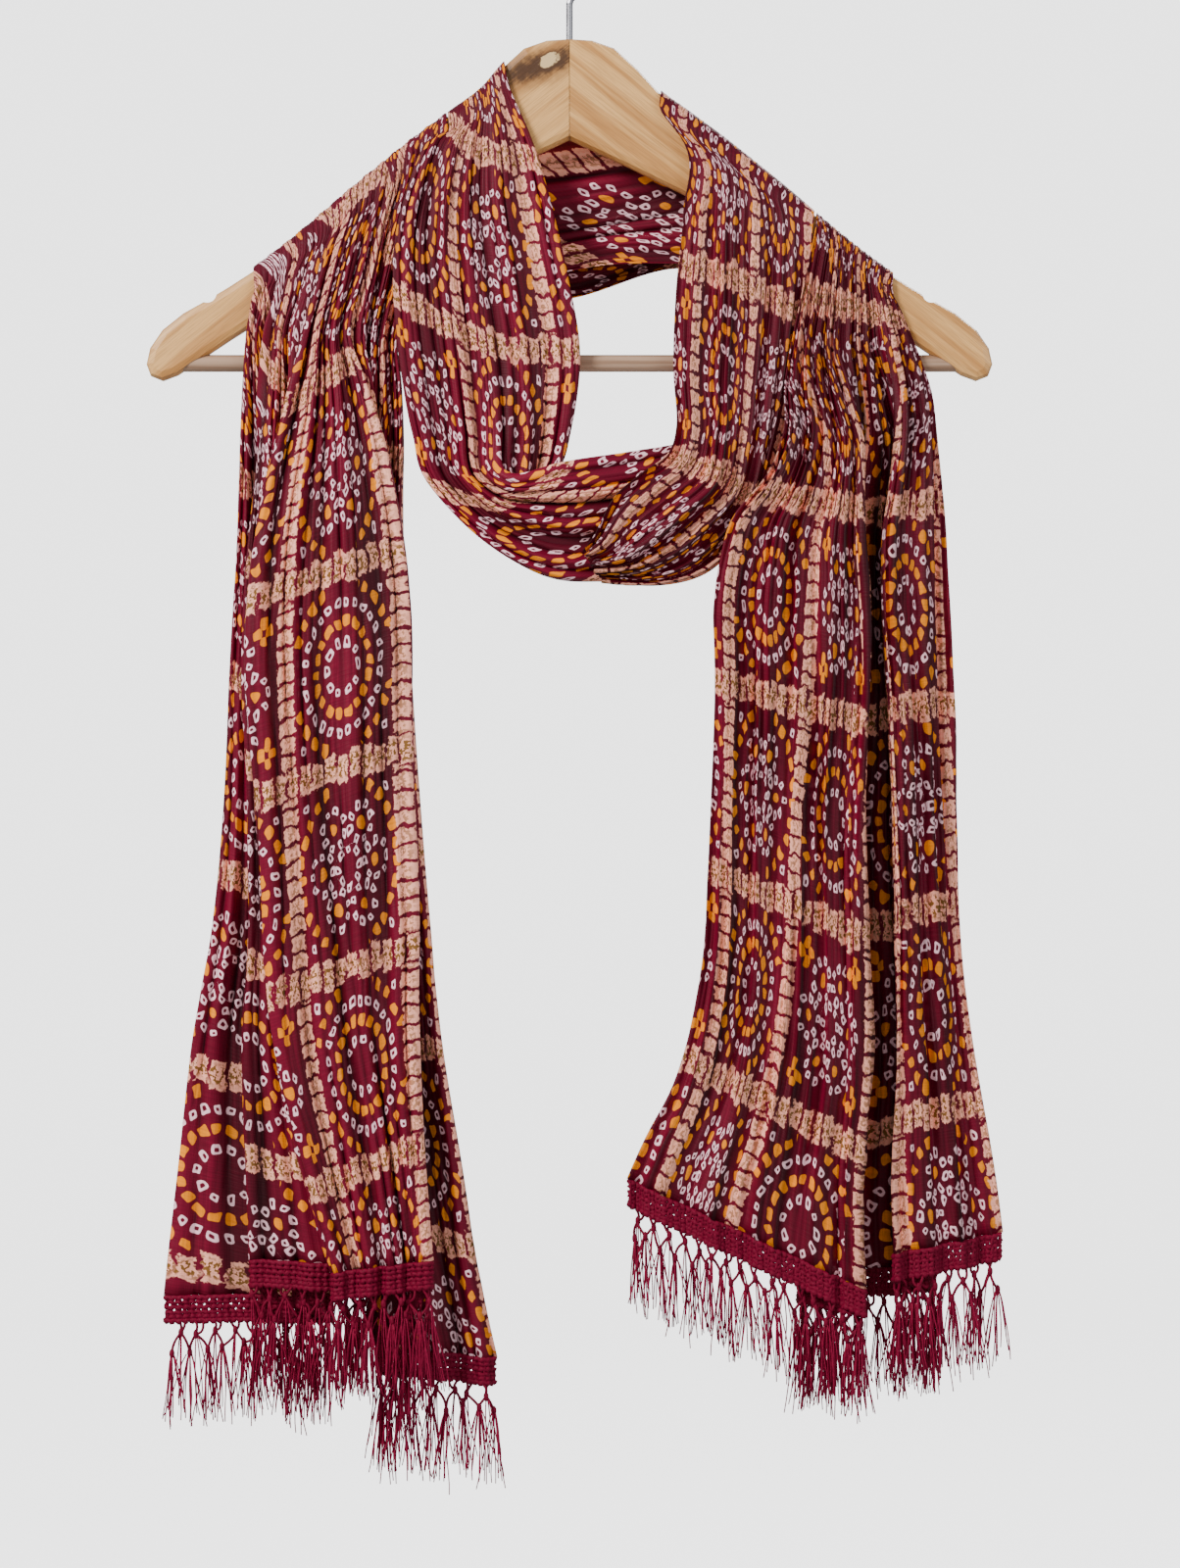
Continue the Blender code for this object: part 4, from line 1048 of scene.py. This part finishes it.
def build_fringe(name, hem_rows, seed):
    """Heading, net and threads along a hem, which is the grid's last row."""
    draw = np.random.default_rng(seed)
    hem = soften(hem_rows[-1][None], 6)[0]
    steps = np.linalg.norm(np.diff(hem, axis=0), axis=1)
    run = np.concatenate([[0.0], np.cumsum(steps)])
    length = run[-1]

    def on_hem(at, below, out=0.0):
        """Points at distances along the hem, below it and out from it."""
        at = np.clip(at, 0.0, length)
        point, ahead, behind = (
            smooth_curve(run, hem, np.clip(at.ravel() + step, 0.0, length)).reshape(at.shape + (3,))
            for step in (0.0, 3.0, -3.0)
        )
        lie = unit(ahead - behind)
        face = np.stack([lie[..., 1], -lie[..., 0], 0.0 * lie[..., 0]], axis=-1)
        down = np.array([0.0, 0.0, -1.0])
        return point + down * np.asarray(below)[..., None] + face * np.asarray(out)[..., None]

    parts = []
    # Chain stitches: six rows of beads along the heading.
    fine = np.linspace(1.0, length - 1.0, round(length / 0.95))
    for below, size in CHAINS:
        beads = 1.0 + 0.30 * np.cos(2 * math.pi * fine / STITCH)
        wave = 0.45 * np.sin(2 * math.pi * fine / STITCH + below)
        path = on_hem(fine, below + wave, 0.5 * wave)
        parts.append(tube_faces(path[None], size * beads, 6, (0.0, 0.0, 1.0)))
    # Posts between the chains, leaning in pairs.
    foot = np.linspace(2.0, length - 2.0, round(length / POST_STEP))
    lean = np.where(np.arange(len(foot)) % 2 == 0, POST_LEAN, -POST_LEAN)
    t = np.linspace(0.0, 1.0, 4)[None]
    for top, bottom in POSTS:
        at = foot[:, None] + lean[:, None] * (t - 0.5)
        path = on_hem(at, top + (bottom - top) * t, 0.5 * np.sin(math.pi * t))
        parts.append(tube_faces(path, POST_RADIUS, 5))

    # Net: two rows of knots, the lower ones between the upper ones, joined by slack strands.
    number = max(8, round(length / NET_STEP))
    spots = np.linspace(4.0, length - 4.0, 2 * number + 1)
    upper = spots[1::2]
    lower = spots[::2]
    upper_drop = UPPER_DROP + draw.uniform(-1.5, 1.5, len(upper))
    lower_drop = LOWER_DROP + draw.uniform(-2.5, 3.0, len(lower))
    upper_knot, lower_knot = (
        on_hem(
            row + draw.uniform(-stray, stray, len(row)), drop, draw.uniform(-stray, stray, len(row))
        )
        for row, drop, stray in ((upper, upper_drop, 1.5), (lower, lower_drop, 2.0))
    )
    hooks = on_hem(upper[:, None] + np.array([-2.6, 2.6]), HEADING_END)
    middle = np.stack([upper_knot, upper_knot], axis=1)
    ends = np.stack([lower_knot[:-1], lower_knot[1:]], axis=1)
    starts = np.concatenate([hooks, middle], axis=1).reshape(-1, 1, 3)
    stops = np.concatenate([middle, ends], axis=1).reshape(-1, 1, 3)
    t = np.linspace(0.0, 1.0, 7)[None, :, None]
    slack = draw.uniform(-1.6, 1.6, starts.shape)
    path = starts * (1 - t) + stops * t + slack * np.sin(math.pi * t)
    parts.append(tube_faces(path, STRAND_RADIUS, 5))
    knots = np.concatenate([upper_knot, lower_knot])
    t = np.linspace(-1.0, 1.0, 7)
    path = knots[:, None] + np.array([0.0, 0.0, -KNOT_HEIGHT]) * t[None, :, None]
    fat = KNOT_RADIUS * np.sqrt(np.clip(1.08 - t**2, 0.05, 1.0))
    parts.append(tube_faces(path, fat, 7))

    # Threads: a tassel from each lower knot and a thinner one from each upper knot.
    tassels = ((lower_knot, LOWER_THREADS), (upper_knot, UPPER_THREADS))
    root = np.concatenate([np.repeat(knot, count, axis=0) for knot, count in tassels])
    each = (len(root), 1)
    reach = draw.uniform(*THREAD_REACH, each) * draw.uniform(0.82, 1.0, each)
    fan = draw.normal(0.0, 1.0, (len(root), 2)) * np.array(THREAD_FAN)
    t = np.linspace(0.0, 1.0, 9)[None]
    wave = t * draw.uniform(2.5, 6.0, each) + draw.uniform(0.0, 6.0, each)
    curl = draw.uniform(0.4, 1.3, each) * np.sin(wave) * t
    x = root[:, :1] + fan[:, :1] * (0.16 + t**0.8) + curl
    y = root[:, 1:2] + fan[:, 1:] * (0.16 + t**0.8) + 0.4 * curl
    z = root[:, 2:] - 1.0 - reach * t
    parts.append(tube_faces(np.stack([x, y, z], axis=2), 0.44 - 0.08 * t, 3))
    return add_object(name, join_tubes(name, parts))


for side, seed, flat in (("left", 5, (0.34, 0.63)), ("right", 6, (0.34, 0.56))):
    tail, hem_rows = tails[side]
    fringe = build_fringe(f"{side}_fringe_yarn", hem_rows, seed)
    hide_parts(f"fringe_{side}")
    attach(fringe, "root")


# Stage: a pale floor that runs up into a pale round wall, and three soft lamps. The wall's glow
# is weak on the cloth and strong for the camera alone, which sees it as bright paper.
FLOOR = -1.25
COVE_RADIUS = 4.6
COVE_BEND = 1.2
PAPER_COOL = (0.80, 0.80, 0.81, 1.0)
PAPER_WARM = (0.84, 0.84, 0.85, 1.0)
WALL_SEEN = 2.4
WALL_LIGHT = 0.48
stage_material, tree, shader = new_material("stage_paper")
paper = noise(tree, object_place(tree), 3.0, 0.0)
finish(tree, shader, mix_colour(tree, paper, PAPER_COOL, PAPER_WARM), 0.9)
shader.inputs["Emission Color"].default_value = (1.0, 1.0, 1.0, 1.0)
shader.inputs["Emission Strength"].default_value = WALL_SEEN
glow = add_node(tree, "Emission", 0, {"Strength": WALL_LIGHT})
camera_ray = add_node(tree, "LightPath", "Is Camera Ray")
either = add_node(tree, "MixShader", 0, {0: camera_ray, 1: glow, 2: shader.outputs[0]})
tree.links.new(either, tree.nodes["Material Output"].inputs["Surface"])
stage_material.cycles.emission_sampling = "NONE"

angle = np.linspace(0.0, 2 * math.pi, 97)[:-1]
bend = np.linspace(0.0, math.pi / 2, 13)
curve = COVE_RADIUS - COVE_BEND + COVE_BEND * np.sin(bend)
reach = np.concatenate([[0.4, COVE_RADIUS * 0.4], curve, [COVE_RADIUS]])[:, None]
height = np.concatenate([[FLOOR, FLOOR], FLOOR + COVE_BEND * (1 - np.cos(bend)), [FLOOR + 6.0]])
rounds = np.broadcast_arrays(reach * np.cos(angle), reach * np.sin(angle), height[:, None])
points = np.stack(rounds, axis=2)
index = np.arange(points.size // 3).reshape(points.shape[:2])
faces = ring_walls(index) + [index[0, ::-1].tolist()]
mesh = new_mesh("studio_cove", points, faces, stage_material)
mesh.shade_smooth()
add_object("studio_cove", mesh)

world = bpy.data.worlds.new("studio")
world.use_nodes = True
world.node_tree.nodes["Background"].inputs["Color"].default_value = (0.93, 0.95, 1.0, 1.0)
world.node_tree.nodes["Background"].inputs["Strength"].default_value = 0.5
bpy.context.scene.world = world
for name, spot, size, power, tint in (
    ("key_lamp", (-1.7, -1.9, 1.1), 0.9, 88.0, (1.0, 0.97, 0.94)),
    ("fill_lamp", (1.8, -1.6, 0.3), 1.4, 15.0, (0.96, 0.98, 1.0)),
    ("back_lamp", (0.8, 1.9, 1.0), 1.0, 26.0, (1.0, 1.0, 1.0)),
):
    lamp_data = bpy.data.lights.new(name, "AREA")
    lamp_data.shape = "DISK"
    lamp_data.size = size
    lamp_data.energy = power
    lamp_data.color = tint
    lamp = add_object(name, lamp_data)
    lamp.location = spot
    away = np.array(spot) - np.array([0.0, 0.0, -0.4])
    flat = math.hypot(away[0], away[1])
    lamp.rotation_euler = (math.atan2(flat, away[2]), 0.0, math.atan2(away[0], -away[1]))
